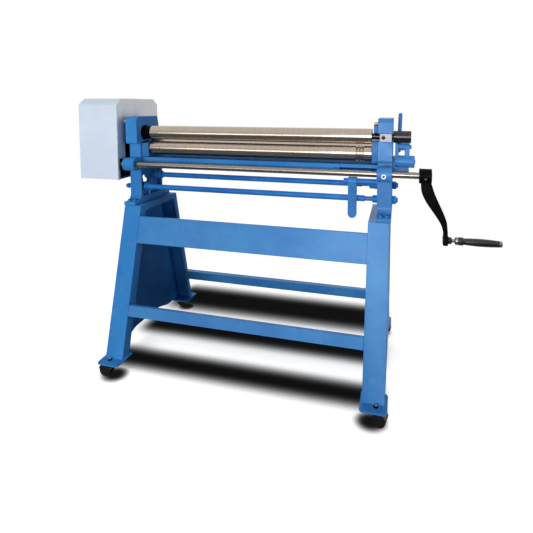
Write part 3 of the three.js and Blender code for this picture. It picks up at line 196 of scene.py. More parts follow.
M = {
    "sheet": paint("blue_enamel_sheet", srgb(56, 129, 188), srgb(44, 110, 176), 0.36, gloss=0.32),
    "cast": paint("blue_enamel_casting", srgb(56, 123, 183), srgb(42, 102, 170),
                  0.36, 0.3, 0.4, gloss=0.32),
    "bar": paint("blue_enamel_bar", srgb(32, 112, 184), srgb(22, 92, 170), 0.36, gloss=0.25),
    "matt_sheet": paint("blue_enamel_sheet_matt", srgb(58, 132, 196), srgb(46, 114, 184), 0.45, gloss=0.05),
    "matt_cast": paint("blue_enamel_casting_matt", srgb(60, 134, 198), srgb(44, 112, 184),
                       0.45, 0.3, 0.4, gloss=0.08),
    "beam": paint("blue_enamel_beam", srgb(58, 126, 188), srgb(44, 108, 178), 0.55, gloss=0.04),
    # Painted shade: a deep navy put where the spring's pocket lies in shade.
    "recess": paint("deep_blue_painted_shade", srgb(22, 44, 104), srgb(14, 30, 82), 0.5, gloss=0.05),
    "light": paint("light_blue_enamel", srgb(47, 106, 164), srgb(35, 89, 150), 0.38, gloss=0.2),
    "cover": paint("pale_cover_enamel", srgb(212, 224, 238), srgb(202, 215, 231), 0.4, 0.15, dust=0.02),
    "plate": paint("grey_plate_coating", srgb(212, 216, 220), srgb(198, 202, 206), 0.5, 0.2, metallic=0.75),
    "roll": machined("ground_roll_steel", srgb(192, 179, 165), srgb(176, 164, 151),
                     0.2, (500, 3, 3), 0.015, 0.03),
    "bright": machined("turned_steel", srgb(158, 151, 144), srgb(138, 132, 126),
                       0.26, (500, 5, 5), 0.02, 0.03),
    "milled": machined("milled_block_steel", srgb(180, 177, 188), srgb(164, 161, 172),
                       0.5, (12, 500, 12), 0.12),
    "zinc": machined("zinc_plated_fastener", srgb(196, 198, 202), srgb(150, 150, 148),
                     0.3, (60, 60, 60), 0.2),
    "journal": machined("oiled_journal_steel", srgb(74, 74, 80), srgb(48, 48, 54),
                        0.3, (500, 5, 5), 0.03, 0.05),
    "gear": machined("oiled_gear_steel", srgb(96, 94, 92), srgb(58, 56, 54), 0.36, (700, 20, 20), 0.2),
    "iron": black("black_painted_iron", grey(0.002), grey(0.004),
                  0.4, 220, 0.4, gloss=0.04, wear_tone=0.01),
    "plastic": black("black_moulded_plastic", srgb(20, 20, 24), srgb(12, 12, 15),
                     0.24, 700, 0.06, gloss=0.6),
    "rubber": black("black_wheel_tread", grey(0.007), grey(0.014), 0.6, 380, 0.4),
    "brass": machined("plain_brass", srgb(196, 142, 34), srgb(158, 110, 22), 0.36, (30, 700, 30), 0.15),
    "white": paint("white_lock_plastic", srgb(236, 236, 236), srgb(220, 220, 222), 0.35, 0.1, dust=0.02),
    "dark": black("dark_recess_steel", srgb(66, 58, 60), srgb(44, 38, 40), 0.5, 300, 0.3, 0.6),
}


# Mesh helpers

def add_object(name, mesh, material, body, smooth=32.0):
    obj = bpy.data.objects.new(name, mesh)
    bpy.context.scene.collection.objects.link(obj)
    mesh.materials.clear()
    mesh.materials.append(M[material])
    for polygon in mesh.polygons:
        polygon.use_smooth = True
    mesh.set_sharp_from_angle(angle=math.radians(smooth))
    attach(obj, body)
    return obj


def round_edges(obj, width, segments=2, angle=34.0):
    bevel = obj.modifiers.new("edges", "BEVEL")
    bevel.width = width / 1000
    bevel.segments = segments
    bevel.limit_method = "ANGLE"
    bevel.angle_limit = math.radians(angle)
    bevel.use_clamp_overlap = False
    bevel.miter_outer = "MITER_ARC"
    bevel.harden_normals = True
    return obj


def from_bmesh(name, bm, material, body, smooth=32.0):
    mesh = bpy.data.meshes.new(name)
    bmesh.ops.recalc_face_normals(bm, faces=bm.faces[:])
    bm.to_mesh(mesh)
    bm.free()
    return add_object(name, mesh, material, body, smooth)


def dressed(node, material, width=1.2, segments=2):
    """The CAD node's own form with flat faces joined and every outer edge rounded off."""
    mesh = nodes[node].data.copy()
    bm = bmesh.new()
    bm.from_mesh(mesh)
    bmesh.ops.remove_doubles(bm, verts=bm.verts[:], dist=1e-6)
    bmesh.ops.dissolve_limit(bm, angle_limit=math.radians(0.6), verts=bm.verts[:], edges=bm.edges[:])
    bmesh.ops.recalc_face_normals(bm, faces=bm.faces[:])
    bm.to_mesh(mesh)
    bm.free()
    piece = add_object(node + "_form", mesh, material, body_of_node[node])
    if width:
        round_edges(piece, width, segments)
    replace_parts(piece, node)
    return piece


def turned(name, profile, y, z, material, body, sides=72, x0=0.0, smooth=28.0):
    """A turned piece along X. profile is a list of (x, radius) closed on the axis."""
    bm = bmesh.new()
    rings = []
    for x, r in profile:
        if r <= 1e-6:
            rings.append([bm.verts.new(at(x + x0, y, z))])
        else:
            rings.append([
                bm.verts.new(at(x + x0, y + r * math.cos(a), z + r * math.sin(a)))
                for a in (2 * math.pi * k / sides for k in range(sides))
            ])
    for a, b in zip(rings, rings[1:]):
        for k in range(sides):
            m = (k + 1) % sides
            if len(a) == 1 and len(b) == 1:
                break
            if len(a) == 1:
                bm.faces.new((a[0], b[k], b[m]))
            elif len(b) == 1:
                bm.faces.new((a[k], a[m], b[0]))
            else:
                bm.faces.new((a[k], a[m], b[m], b[k]))
    return from_bmesh(name, bm, material, body, smooth)


def softened(points, size=0.8):
    """Cuts each inner corner of a turned profile by a small chamfer."""
    out = [points[0]]
    for before, here, after in zip(points, points[1:], points[2:]):
        for other in (before, after):
            dx, dr = other[0] - here[0], other[1] - here[1]
            length = math.hypot(dx, dr)
            if length < 1e-9:
                continue
            step = min(size, length * 0.4)
            out.append((here[0] + dx / length * step, here[1] + dr / length * step))
    out.append(points[-1])
    return out


def join_rings(bm, rings):
    """Puts a band of four-sided faces between each ring of points and the next."""
    for a, b in zip(rings, rings[1:]):
        count = len(a)
        for k in range(count):
            bm.faces.new((a[k], a[(k + 1) % count], b[(k + 1) % count], b[k]))


def loft(sections, name, material, body, smooth=40.0):
    """Joins closed rings of points, each given in machine millimetres, and closes both ends."""
    bm = bmesh.new()
    rings = [[bm.verts.new(at(*p)) for p in ring] for ring in sections]
    join_rings(bm, rings)
    bm.faces.new(rings[0])
    bm.faces.new(list(reversed(rings[-1])))
    return from_bmesh(name, bm, material, body, smooth)


def placed(points, centre, axis):
    """Turns (along, u, v) points so that along follows the axis, then moves them to the centre."""
    turn = Vector((1, 0, 0)).rotation_difference(Vector(axis)).to_matrix()
    return [tuple(Vector(centre) + turn @ Vector(p)) for p in points]


def circle(height, radius, sides):
    """A ring of (along, u, v) points. radius is a number or a function of the angle."""
    ring = []
    for k in range(sides):
        a = 2 * math.pi * k / sides
        r = radius(a) if callable(radius) else radius
        ring.append((height, r * math.cos(a), r * math.sin(a)))
    return ring


def hexagon(half_across, limit=math.inf):
    """A hexagon's radius by angle, its corners cut back to the limit."""
    return lambda a: min(half_across / math.cos((a % (math.pi / 3)) - math.pi / 6), limit)


def round_fastener(name, centre, axis, profile, material, body, sides=24):
    """A turned fastener; profile is (height, radius) from the seat outwards, closed on the axis."""
    sections = [placed(circle(height, radius, sides), centre, axis) for height, radius in profile]
    return loft(sections, name, material, body, 30)


def socket_screw(name, centre, axis, radius, height, material, body):
    """Cap screw: a round head with a hexagonal socket."""
    socket = hexagon(radius * 0.52)
    head = ((0, radius), (height * 0.88, radius), (height, radius * 0.9))
    profile = (*head, (height, socket), (height * 0.35, socket))
    return round_fastener(name, centre, axis, profile, material, body)


def hex_nut(name, centre, axis, across, height, bore, material, body):
    """Chamfered hexagon nut with a bore."""
    sides = 36
    corner = across / 2 / math.cos(math.pi / 6)
    outer = [(0.0, corner * 0.93), (height * 0.12, corner), (height * 0.86, corner), (height, corner * 0.9)]
    inner = [(height, bore * 1.08), (height - 0.8, bore), (0.0, bore)]
    rings = [circle(h, hexagon(across / 2, limit), sides) for h, limit in outer]
    rings += [circle(h, r, sides) for h, r in inner]
    bm = bmesh.new()
    made = [[bm.verts.new(at(*p)) for p in placed(ring, centre, axis)] for ring in rings]
    join_rings(bm, made + made[:1])
    return from_bmesh(name, bm, material, body, 25)


# Frame, painted sheet and castings

DRESSED = (  # node, material, edge rounding in millimetres
    ("left_stand_frame", "matt_sheet", 1.3), ("right_stand_frame", "sheet", 1.3),
    ("front_apron", "sheet", 1.3), ("front_stretcher", "sheet", 1.3), ("rear_stretcher", "sheet", 1.3),
    ("left_head", "matt_cast", 1.8), ("right_head", "cast", 1.8), ("lower_block_left", "light", 1.0),
    ("lower_block_right", "light", 1.0), ("rear_block_left", "light", 1.0),
    ("rear_block_right", "light", 1.0), ("guide_plate_lower", "light", 1.0),
    ("guide_plate_upper", "light", 1.0), ("guide_cap", "brass", 0.8),
    ("slot_bearing_block", "milled", 0.8), ("tie_beam", "beam", 1.0), ("strap_lever", "cast", 1.6),
    ("lock_shaft", "bar", 0.8), ("release_bracket", "cast", 1.8), ("release_lever", "cast", 1.0),
    ("upper_bearing_cap", "cast", 1.2), ("gear_cover", "cover", 0.9),
    ("cover_back_plate", "plate", 0.4), ("pinch_nut_left", "zinc", 0.8),
    ("pinch_nut_right", "zinc", 0.8), ("rear_nut_left", "zinc", 0.8), ("rear_nut_right", "zinc", 0.8),
    ("reduction_stub", "bright", 0.6), ("crank_pinion", "gear", 0), ("reduction_gear", "gear", 0),
    ("lower_roll_gear", "gear", 0), ("upper_roll_gear", "gear", 0),
)
# The outer sides of these are more matt, as the whole of their left twins is.
MATT_OUTSIDE = {"right_stand_frame": "matt_sheet", "right_head": "matt_cast"}

for node, material, width in DRESSED:
    piece = dressed(node, material, width)
    if node in MATT_OUTSIDE:
        piece.data.materials.append(M[MATT_OUTSIDE[node]])
        for polygon in piece.data.polygons:
            polygon.material_index = int(polygon.normal.x > 0.9)

# Rolls

GROOVES = ((-53, 4.0), (-40, 3.5), (-29, 3.0))  # place from the roll's right end, and radius


def roll_face(start, end, grooves=()):
    """The ground face of a roll: rounded ends and, where asked, round wire grooves."""
    ends = ((0.0, ROLL_RADIUS - 2.0), (0.6, ROLL_RADIUS - 1.1), (2.2, ROLL_RADIUS))
    points = [(start + inset, radius) for inset, radius in ends]
    for offset, radius in grooves:
        x = ROLL_END + offset
        points.append((x - radius - GAP, ROLL_RADIUS))
        for k in range(9):
            a = math.pi * k / 8
            points.append((x - radius * math.cos(a), ROLL_RADIUS - radius * 0.94 * math.sin(a)))
        points.append((x + radius + GAP, ROLL_RADIUS))
    return points + [(end - inset, radius) for inset, radius in reversed(ends)]


def refinished(piece, material, beyond_low, beyond_high):
    """Gives the faces of a turned piece that lie outside two places along X another finish."""
    piece.data.materials.append(M[material])
    low_x, high_x = at(beyond_low, 0, 0).x, at(beyond_high, 0, 0).x
    for polygon in piece.data.polygons:
        if not low_x < polygon.center.x < high_x:
            polygon.material_index = 1


def full_roll(name, node, start, end, left, right, y, z, body, grooves=()):
    profile = [*left, *roll_face(start, end, grooves), *right]
    piece = turned(name, profile, y, z, "roll", body, 96)
    refinished(piece, "journal", start - 0.1, end + 0.1)
    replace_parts(piece, node)


full_roll("upper_roll_ground", "upper_roll", ROLL_START, FACE_SHOWN_TO,
          [(-556, 0), (-556, 12), (-555, 13), (ROLL_START, 13)],
          [(FACE_SHOWN_TO, 13), (524, 13), (524, 10), (635, 10), (636, 9), (636, 0)],
          ROLL_Y, UPPER_Z, "upper_roll")
full_roll("lower_roll_ground", "lower_roll", ROLL_START, FACE_SHOWN_TO,
          [(-653, 0), (-653, 10), (-652, 11), (-621, 11), (-621, 14), (ROLL_START, 14)],
          [(FACE_SHOWN_TO, 14), (570, 14), (571, 13), (571, 0)], ROLL_Y, LOWER_Z, "lower_roll", GROOVES)
full_roll("rear_roll_ground", "rear_roll", -508, 508,
          [(-571, 0), (-571, 13), (-570, 14), (-508, 14)],
          [(508, 14), (570, 14), (571, 13), (571, 0)], REAR_Y, REAR_Z, "rear_roll")

swivel = turned("swivel_bearing_ball", [
    (-556, 13.3), (-556, 31.9),
    *[(-545 + x, math.sqrt(34 ** 2 - x * x)) for x in (-10, -7, -3.5, 0, 3.5, 7, 10)],
    (-534, 31.5), (-534, 25), (-516, 25), (-515, 28), (-513, 29), (-493, 29), (-490.5, 27.5), (-488, 25),
    (-488, 13.3), (-556, 13.3),
], ROLL_Y, UPPER_Z, "iron", "upper_carrier", 64)
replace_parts(swivel, "swivel_bearing")

sleeve = turned("end_sleeve_turned", [
    (576.6, 10.3), (576.6, 22.8), (577.8, 24), (640.6, 24), (642, 22.6), (642, 11.5), (640.8, 10.5),
    (640.8, 0),
], ROLL_Y, UPPER_Z, "plastic", "upper_carrier", 96)
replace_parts(sleeve, "end_sleeve")

# Crank

shaft = turned("crank_shaft_turned", softened([
    (-705, 0), (-705, 10), (-677, 10), (-677, 12.5), (714, 12.5), (714, 0),
], 0.9), CRANK_Y, CRANK_Z, "bright", "crank", 64)
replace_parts(shaft, "crank_shaft")

arm_edges = [  # z, left x, right x, half depth
    (856, 674, 714, 14.0), (838, 677, 715, 14.0), (826, 679, 718, 14.0), (796, 683, 728, 13.6),
    (762, 699, 743, 13.2), (723, 726, 761, 12.8), (696, 744, 771.5, 12.4), (680, 753, 774.5, 12.2),
    (656, 760.5, 777, 12.0), (640, 761.5, 778, 12.4), (622, 761, 779, 13.2), (604, 762, 779, 12.0),
]


def smooth_rows(rows, steps=5):
    """Catmull-Rom through the rows of numbers."""
    out = []
    for i in range(len(rows) - 1):
        p = [rows[max(0, i - 1)], rows[i], rows[i + 1], rows[min(len(rows) - 1, i + 2)]]
        for s in range(steps):
            t = s / steps
            out.append(tuple(
                0.5 * (2 * b + (c - a) * t + (2 * a - 5 * b + 4 * c - d) * t * t
                       + (3 * b - a - 3 * c + d) * t ** 3)
                for a, b, c, d in zip(*p)
            ))
    return out + [rows[-1]]


def rounded_section(x0, x1, y0, y1, z, radius, steps=4):
    """A level rectangle with round corners."""
    ring = []
    for cx, cy, start in ((x1 - radius, y0 + radius, -90), (x1 - radius, y1 - radius, 0),
                          (x0 + radius, y1 - radius, 90), (x0 + radius, y0 + radius, 180)):
        for k in range(steps + 1):
            a = math.radians(start + 90 * k / steps)
            ring.append((cx + radius * math.cos(a), cy + radius * math.sin(a), z))
    return ring


arm = loft([
    rounded_section(x0, x1, CRANK_Y - h, CRANK_Y + h, z, min(4.0, (x1 - x0) * 0.3))
    for z, x0, x1, h in smooth_rows(arm_edges)
], "crank_arm_bar", "iron", "crank")
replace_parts(arm, "crank_arm")
hub = turned("crank_hub", softened([
    (672, 12.8), (672, 27), (673.5, 28), (676, 28), (677, 27.2), (712, 27.2), (713, 28), (715, 28),
    (716, 26.5), (716, 0),
], 0.3), CRANK_Y, CRANK_Z, "iron", "crank", 64)
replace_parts(hub, "crank_arm")
boss = turned("crank_lower_boss", softened([
    (761, 6.8), (761, 17), (763.5, 20), (777, 20), (779, 17.5), (779, 6.8), (761, 6.8),
], 0.3), CRANK_Y, GRIP_Z, "iron", "crank", 64)
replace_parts(boss, "crank_arm")

spindle = turned("grip_spindle_turned", softened([
    (761, 0), (761, 6.5), (779.3, 6.5), (779.3, 12.6), (781.4, 13.6), (784, 13.6), (785, 12.6),
    (790.4, 12.6), (792, 11), (792, 6.5), (802, 6.5), (802, 11.5), (804.5, 14.5), (812, 15), (814, 14),
    (814, 4.5), (951, 4.5), (951, 10.8), (952, 11.6), (959, 11.2), (961.4, 9.2), (962, 0),
], 0.25), CRANK_Y, GRIP_Z, "bright", "crank", 64)
refinished(spindle, "plastic", 792.1, 970)
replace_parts(spindle, "grip_spindle")

grip_profile = [
    (814.4, 4.9), (814.4, 13.6), (815.4, 14.8), (817.5, 15.2), (828, 15.1), (830.5, 14.3), (833, 12.4),
]
for k in range(25):
    t = k / 24
    grip_profile.append((835 + 112.5 * t, 11.6 + 2.8 * math.sin(math.pi * min(1, t * 0.85 + 0.08)) ** 1.2))
grip_profile += [(949.6, 12.2), (950.6, 11.2), (950.7, 4.9), (814.4, 4.9)]
grip = turned("crank_grip_moulded", grip_profile, CRANK_Y, GRIP_Z, "plastic", "grip", 64, smooth=40)
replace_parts(grip, "crank_grip")

# Tie rods, their nuts, the guide rod and the spring


def tie_rod(name, node, y, z, seat_inset, collar, gear_side_end):
    """A rod with a collar at each head. gear_side_end is the outline of its left tip."""
    seat = HEAD_IN - seat_inset - GAP
    out = HEAD_OUT + GAP
    piece = turned(name, softened([
        *gear_side_end, (-out, 10), (-seat, 10), (-seat, collar),
        (-seat + 14, collar), (-seat + 14, 12), (seat - 48, 12), (seat - 48, 9), (seat - 18, 9),
        (seat - 18, collar - 1), (seat, collar - 1), (seat, 10), (out + 23, 10), (out + 23, 0),
    ], 0.7), y, z, "bar", "machine", 64)
    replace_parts(piece, node)


tie_rod("tie_rod_front_turned", "tie_rod_front", *RODS["front"], 0, 16, [
    (-615, 0), (-615, 6.5), (-609, 6.5), (-609, 11), (-597, 11), (-597, 8), (-HEAD_OUT - GAP, 8),
])
tie_rod("tie_rod_rear_turned", "tie_rod_rear", *RODS["rear"], 18, 19, [
    (-584, 0), (-584, 8), (-HEAD_OUT - GAP, 8),
])
for label, (y, z) in RODS.items():
    nut = hex_nut(f"tie_rod_nut_{label}_hex", (HEAD_OUT + GAP, y, z), (1, 0, 0), 29.4, 16, 10.3,
                  "bar", "machine")
    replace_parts(nut, f"tie_rod_nut_{label}")

guide_rod = turned("spring_guide_rod", softened([
    (356, 0), (356, 7.5), (365.7, 7.5), (365.7, 4), (512.7, 4), (512.7, 7.5), (518.7, 7.5), (518.7, 4),
    (535, 4), (535, 0),
], 0.5), SPRING_Y, SPRING_ROD_Z, "bar", "machine", 32)
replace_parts(guide_rod, "spring_rod")


def spring_wire(name, xa, xb, y, z, outer, wire, curls, material, body):
    """A wound wire of round section along X, as one closed tube."""
    steps, sides = 20, 8
    coil = outer - wire
    count = curls * steps
    path = []
    for i in range(count + 1):
        a = 2 * math.pi * i / steps
        path.append(Vector((xa + (xb - xa) * i / count, y + coil * math.cos(a), z + coil * math.sin(a))))
    sections = []
    for i, p in enumerate(path):
        before, after = path[max(0, i - 1)], path[min(count, i + 1)]
        tangent = (after - before).normalized()
        outward = tangent.cross(Vector((1, 0, 0))).normalized()
        side = tangent.cross(outward).normalized()
        turns = [2 * math.pi * k / sides for k in range(sides)]
        sections.append([tuple(p + outward * wire * math.cos(a) + side * wire * math.sin(a)) for a in turns])
    return loft(sections, name, material, body, 60)


# A sheet painted deep navy as shade behind the spring, because the beam's notch would show the white room
# there.
loft([
    [(x, -86, 845), (x, -86, 877), (x, -84, 877), (x, -84, 845)] for x in (344, 344.8, 517.4, 518.2)
], "spring_shade_sheet", "recess", "machine", 30)
# The coil is painted the same deep navy as the painted shade behind it.
coil = spring_wire("lock_spring_coil", 373.4, 511.3, SPRING_Y, SPRING_Z, 9.2, 1.5, 19, "recess", "machine")
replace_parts(coil, "lock_spring")

# Casters

CASTER_X, CASTER_Y, CASTER_TRAIL = 540, 349, 14
WHEEL_RADIUS, HOOD_RADIUS = 24, 28.4
CASTER_TURNS = {"front_left": -90, "front_right": 80, "rear_left": -75, "rear_right": 95}


def swung(piece, x, y, turn):
    """Moves a piece made about the middle of the machine to a caster's stem, turned as the caster is."""
    piece.data.transform(Matrix.Translation(at(x, y, 0)) @ Matrix.Rotation(math.radians(turn), 4, "Z"))
    return piece


def caster(end, side):
    """Twin wheels under a hood, which turns about the stem."""
    label = f"{end}_{side}"
    x = CASTER_X if side == "right" else -CASTER_X
    y = -CASTER_Y if end == "front" else CASTER_Y
    turn = CASTER_TURNS[label]
    body = f"caster_{label}"
    half = [(6.6, 4), (6.6, 16), (7.2, 19.6), (8.8, 22.6), (11.4, WHEEL_RADIUS), (17, WHEEL_RADIUS),
            (19.6, 23.4), (21.2, 21.9), (22, 19.6), (22, 18.2), (20.8, 17.2), (20.0, 15.4), (19.8, 9.6),
            (20.9, 8.6), (21.8, 8.2), (21.9, 5.4), (21.2, 4.6), (21.2, 0)]
    wheel = turned(f"caster_wheels_{label}_moulded", [(-u, r) for u, r in reversed(half)] + half,
                   -CASTER_TRAIL, WHEEL_RADIUS, "rubber", f"wheels_{label}", 64, x0=MIDDLE_X)
    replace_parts(swung(wheel, x, y, turn), f"caster_wheels_{label}")
    dressed(f"caster_body_{label}", "plastic", 0.5)
    rib = []
    for k in range(17):
        a = math.radians(14 + 152 * k / 16)
        rib.append([
            (MIDDLE_X + u, -CASTER_TRAIL + radius * math.cos(a), WHEEL_RADIUS + radius * math.sin(a))
            for u, radius in ((-3.2, 27.2), (-2.4, HOOD_RADIUS), (2.4, HOOD_RADIUS), (3.2, 27.2))
        ])
    swung(loft(rib, f"caster_hood_rib_{label}", "plastic", body), x, y, turn)
    round_fastener(f"caster_stem_ring_{label}", (x, y, 62.1), (0, 0, 1),
                   [(0, 6.4), (0, 9.2), (1.2, 9.2), (1.8, 8.6), (1.8, 6.4)], "iron", "machine", 32)
    round_fastener(f"caster_stem_tip_{label}", (x, y, 67.5), (0, 0, 1),
                   [(0, 4.2), (1.6, 4.2), (2.6, 3.2), (2.9, 0.01)], "zinc", body, 24)


for end in ("front", "rear"):
    for side in ("left", "right"):
        caster(end, side)

# Small fasteners and trim

for side in (-1, 1):
    label = "left" if side < 0 else "right"
    for y, tag in ((-147, "front"), (136, "rear")):
        for dx in (16, 40):
            x = side * (HEAD_IN + dx)
            round_fastener(f"base_washer_{label}_{tag}_{dx}", (x, y, STAND_TOP + 16.1), (0, 0, 1),
                           [(0, 8.6), (1.3, 8.6), (1.6, 8.2), (1.6, 0.01)], "cast", "machine")
            socket_screw(f"base_screw_{label}_{tag}_{dx}", (x, y, STAND_TOP + 17.7), (0, 0, 1),
                         6.6, 6.5, "cast", "machine")

round_fastener("right_head_oiler", (550, CRANK_Y - 2, CRANK_Z + 28.4), (0, -0.25, 1),
               [(0, 5.6), (3, 5.6), (3.4, 4.6), (5.2, 4.4), (6.6, 3.2), (7.2, 1.4), (7.2, 0.01)],
               "brass", "machine")
round_fastener("left_head_oiler", (-547, CRANK_Y - 2, CRANK_Z + 28.4), (0, -0.25, 1),
               [(0, 4.6), (2.5, 4.6), (3.2, 3.2), (4.2, 1.4), (4.2, 0.01)], "zinc", "machine")
round_fastener("lock_ring", (545, CRANK_Y - 28.4, CRANK_Z - 5), (0, -1, 0),
               [(0, 9.2), (1.4, 9.2), (2.0, 8.6), (2.0, 4.6), (0.4, 4.4), (0.4, 0.01)], "white", "machine")
round_fastener("lock_ring_pin", (545, CRANK_Y - 28.6, CRANK_Z - 5), (0, -1, 0),
               [(0.5, 4.2), (0.8, 4.2), (0.8, 0.01)], "dark", "machine")
round_fastener("slot_block_screw", (540, -133.5, UPPER_Z), (0, -1, 0),
               [(0, 6.8), (1.5, 6.8), (1.8, 6.2), (1.8, 3.4), (-1.5, 3.2), (-1.5, 0.01)],
               "dark", "upper_carrier")
round_fastener("crank_hub_screw", (694, CRANK_Y - 26.4, CRANK_Z - 8), (0, -1, -0.25),
               [(0, 4.0), (1.3, 4.0), (1.6, 3.6), (1.6, 1.8), (0.6, 1.7), (0.6, 0.01)], "zinc", "crank")
for index, z in enumerate((972, 944, 912)):
    socket_screw(f"guide_screw_{index}", (507.5, HEAD_FRONT, z), (0, -1, 0), 5.4, 3.2, "bar", "machine")
for index, x in enumerate((507.6, 514.6)):
    socket_screw(f"guide_screw_top_{index}", (x, HEAD_FRONT, 1026), (0, -1, 0), 2.8, 2.6, "bar", "machine")
round_fastener("frame_web_bolt", (-565.9, -96, 104), (1, 0, 0),
               [(0, 6.5), (3.2, 6.5), (4.2, 5.4), (4.6, 0.01)], "sheet", "machine", 6)
hook = [(-493.7, -80, 733.6), (-493.7, -82, 727), (-492.6, -86, 721), (-490.6, -90.5, 716)]
loft([placed(circle(0, 3.1, 12), point, (0.15, -0.35, -1)) for point in hook],
     "collar_pin", "bar", "machine")

# Stage: pale floor and backdrop, soft lamps. Lengths are in metres.

FLOOR_HALF = 14
FLOOR_Z = -0.0006      # just under the wheels
FLOOR_LIT = 0.62       # how much of the lamps' light the floor shows where it is looked at
FLOOR_GLOW = 0.74      # and how much of its own paleness
FLOOR_FLAT_FROM = 1.5  # from the middle to where the floor starts to turn into plain white
FLOOR_FLAT_TO = 3.2
# Painted shadow: soft dark stripes under the machine, painted into the floor's colour: middle and half width
# along Y, and how fast they fade.
PAINTED_SHADOW_STRIPES = ((-0.201, 0.069, 0.066), (0.130, 0.096, 0.074), (0.467, 0.138, 0.100))
STRIPE_ENDS = (-0.712, 0.455)
STRIPE_END_FADE = 0.06
PAINTED_SHADOW_DARK = 0.905
# Painted shadow spots around the casters: their places, how dark they are, and where they fade.
SPOT_X, SPOT_Y = 0.522, 0.342  # soft spots under the casters
CASTER_SHADOW_DARK, SPOT_FROM, SPOT_TO = 0.88, 0.015, 0.078
SHADE_GAMMA = 2.2      # the darkness above is as the eye sees it
DIM_SIDE = 0.12        # what metal sees on the camera's side of the room
AMBIENT = 0.05


def away_from_front(n, y, low, high):
    """1 towards the backdrop, DIM_SIDE towards the camera's side."""
    return n.span(y, DIM_SIDE, 1.0, low, high)


def looked_at_by_camera(n):
    """1 where the camera looks straight on, and 1 where it looks straight on, by gloss or through glass."""
    path = n.new("LightPath")
    seen = path.outputs["Is Camera Ray"]
    for name in ("Is Glossy Ray", "Is Transmission Ray"):
        seen = maths(n, "MAXIMUM", seen, path.outputs[name])
    return path.outputs["Is Camera Ray"], seen


def maths(n, operation, a, b=None):
    """One Math node. a and b are sockets or numbers."""
    node = n.new("Math", operation=operation)
    for socket, value in zip(node.inputs, (a, b)):
        if isinstance(value, (int, float)):
            socket.default_value = value
        elif value is not None:
            n.link(value, socket)
    return node.outputs[0]


def from_middle(n, value, middle):
    return maths(n, "ABSOLUTE", maths(n, "SUBTRACT", value, middle))


def smooth_span(n, value, low, high, from_low, from_high):
    out = n.span(value, low, high, from_low, from_high)
    out.node.interpolation_type = "SMOOTHERSTEP"
    return out


def painted_floor_shadow(n):
    """How light the floor is by place, and its Y: painted shadow in soft dark stripes and a painted shadow
    spot around each caster.
    """
    split = n.new("SeparateXYZ")
    n.link(n.coords, split.inputs[0])
    x, y = split.outputs["X"], split.outputs["Y"]
    dark = None
    for middle, half, fade in PAINTED_SHADOW_STRIPES:
        stripe = smooth_span(n, from_middle(n, y, middle), PAINTED_SHADOW_DARK, 0.0, half - fade, half + fade)
        dark = maths(n, "MAXIMUM", dark, stripe) if dark else stripe
    centre = (STRIPE_ENDS[0] + STRIPE_ENDS[1]) / 2
    reach = (STRIPE_ENDS[1] - STRIPE_ENDS[0]) / 2
    fade_from, fade_to = reach - STRIPE_END_FADE, reach + STRIPE_END_FADE
    along = smooth_span(n, from_middle(n, x, centre), 1.0, 0.0, fade_from, fade_to)
    dark = maths(n, "MULTIPLY", dark, along)
    for sx in (-1, 1):
        for sy in (-1, 1):
            spot = n.new("VectorMath", operation="DISTANCE")
            n.link(n.coords, spot.inputs[0])
            spot.inputs[1].default_value = (sx * SPOT_X - MIDDLE_X / 1000, sy * SPOT_Y, 0.0)
            caster_spot_shadow = smooth_span(n, spot.outputs["Value"], CASTER_SHADOW_DARK, 0.0, SPOT_FROM, SPOT_TO)
            dark = maths(n, "MAXIMUM", dark, caster_spot_shadow)
    return maths(n, "POWER", n.span(dark, 1.0, 0.0), SHADE_GAMMA), y


def mixed_shader(n, factor, a, b):
    node = n.new("MixShader")
    for socket, value in zip(node.inputs, (factor, a, b)):
        n.link(value, socket)
    return node.outputs[0]


def stage_material():
    """A pale matt floor. Looked at, it shows white with the object's real shadow from the lamps, darkened
    further by painted shadow stripes and spots under the machine, and plain white far away.

    It is see-through from below, so that the machine's underside can be looked at.
    """
    n = Nodes("pale_floor")
    camera_ray, seen = looked_at_by_camera(n)
    # light is the floor's brightness with the painted shadow stripes and spots in it.
    light, y = painted_floor_shadow(n)
    away = n.new("VectorMath", operation="LENGTH")
    n.link(n.coords, away.inputs[0])
    flat = n.span(away.outputs["Value"], 0.0, 1.0, FLOOR_FLAT_FROM, FLOOR_FLAT_TO)
    side = maths(n, "MAXIMUM", camera_ray, away_from_front(n, y, -0.6, 0.6))
    glow = n.new("Emission")
    n.link(side, glow.inputs["Strength"])
    shown = n.new("BsdfDiffuse")
    place = maths(n, "MULTIPLY", light, side)
    n.link(n.span(place, 0.0, FLOOR_LIT), shown.inputs["Color"])
    own = n.new("Emission")
    n.link(n.span(place, 0.0, FLOOR_GLOW), own.inputs["Strength"])
    near = n.new("AddShader")
    n.link(shown.outputs[0], near.inputs[0])
    n.link(own.outputs[0], near.inputs[1])
    looked_at = mixed_shader(n, flat, near.outputs[0], glow.outputs[0])
    n.set(Roughness=0.9, Base_Color=grey(0.25))
    n.shader.inputs["Specular IOR Level"].default_value = 0.0
    total = mixed_shader(n, seen, n.shader.outputs[0], looked_at)
    from_below = n.new("NewGeometry").outputs["Backfacing"]
    below = mixed_shader(n, from_below, total, n.new("BsdfTransparent").outputs[0])
    n.link(below, n.tree.nodes["Material Output"].inputs["Surface"])
    return n.material


bm = bmesh.new()
corners = [(-1, -1), (1, -1), (1, 1), (-1, 1)]
bm.faces.new([bm.verts.new((sx * FLOOR_HALF, sy * FLOOR_HALF, FLOOR_Z)) for sx, sy in corners])
floor_mesh = bpy.data.meshes.new("floor")
bm.to_mesh(floor_mesh)
bm.free()
floor = bpy.data.objects.new("floor", floor_mesh)
bpy.context.scene.collection.objects.link(floor)
floor_mesh.materials.append(stage_material())


class WorldNodes(Nodes):
    def __init__(self, world):
        world.use_nodes = True
        self.tree = world.node_tree
        self.shader = self.tree.nodes["Background"]
        self.coords = self.tree.nodes.new("ShaderNodeTexCoord").outputs["Generated"]


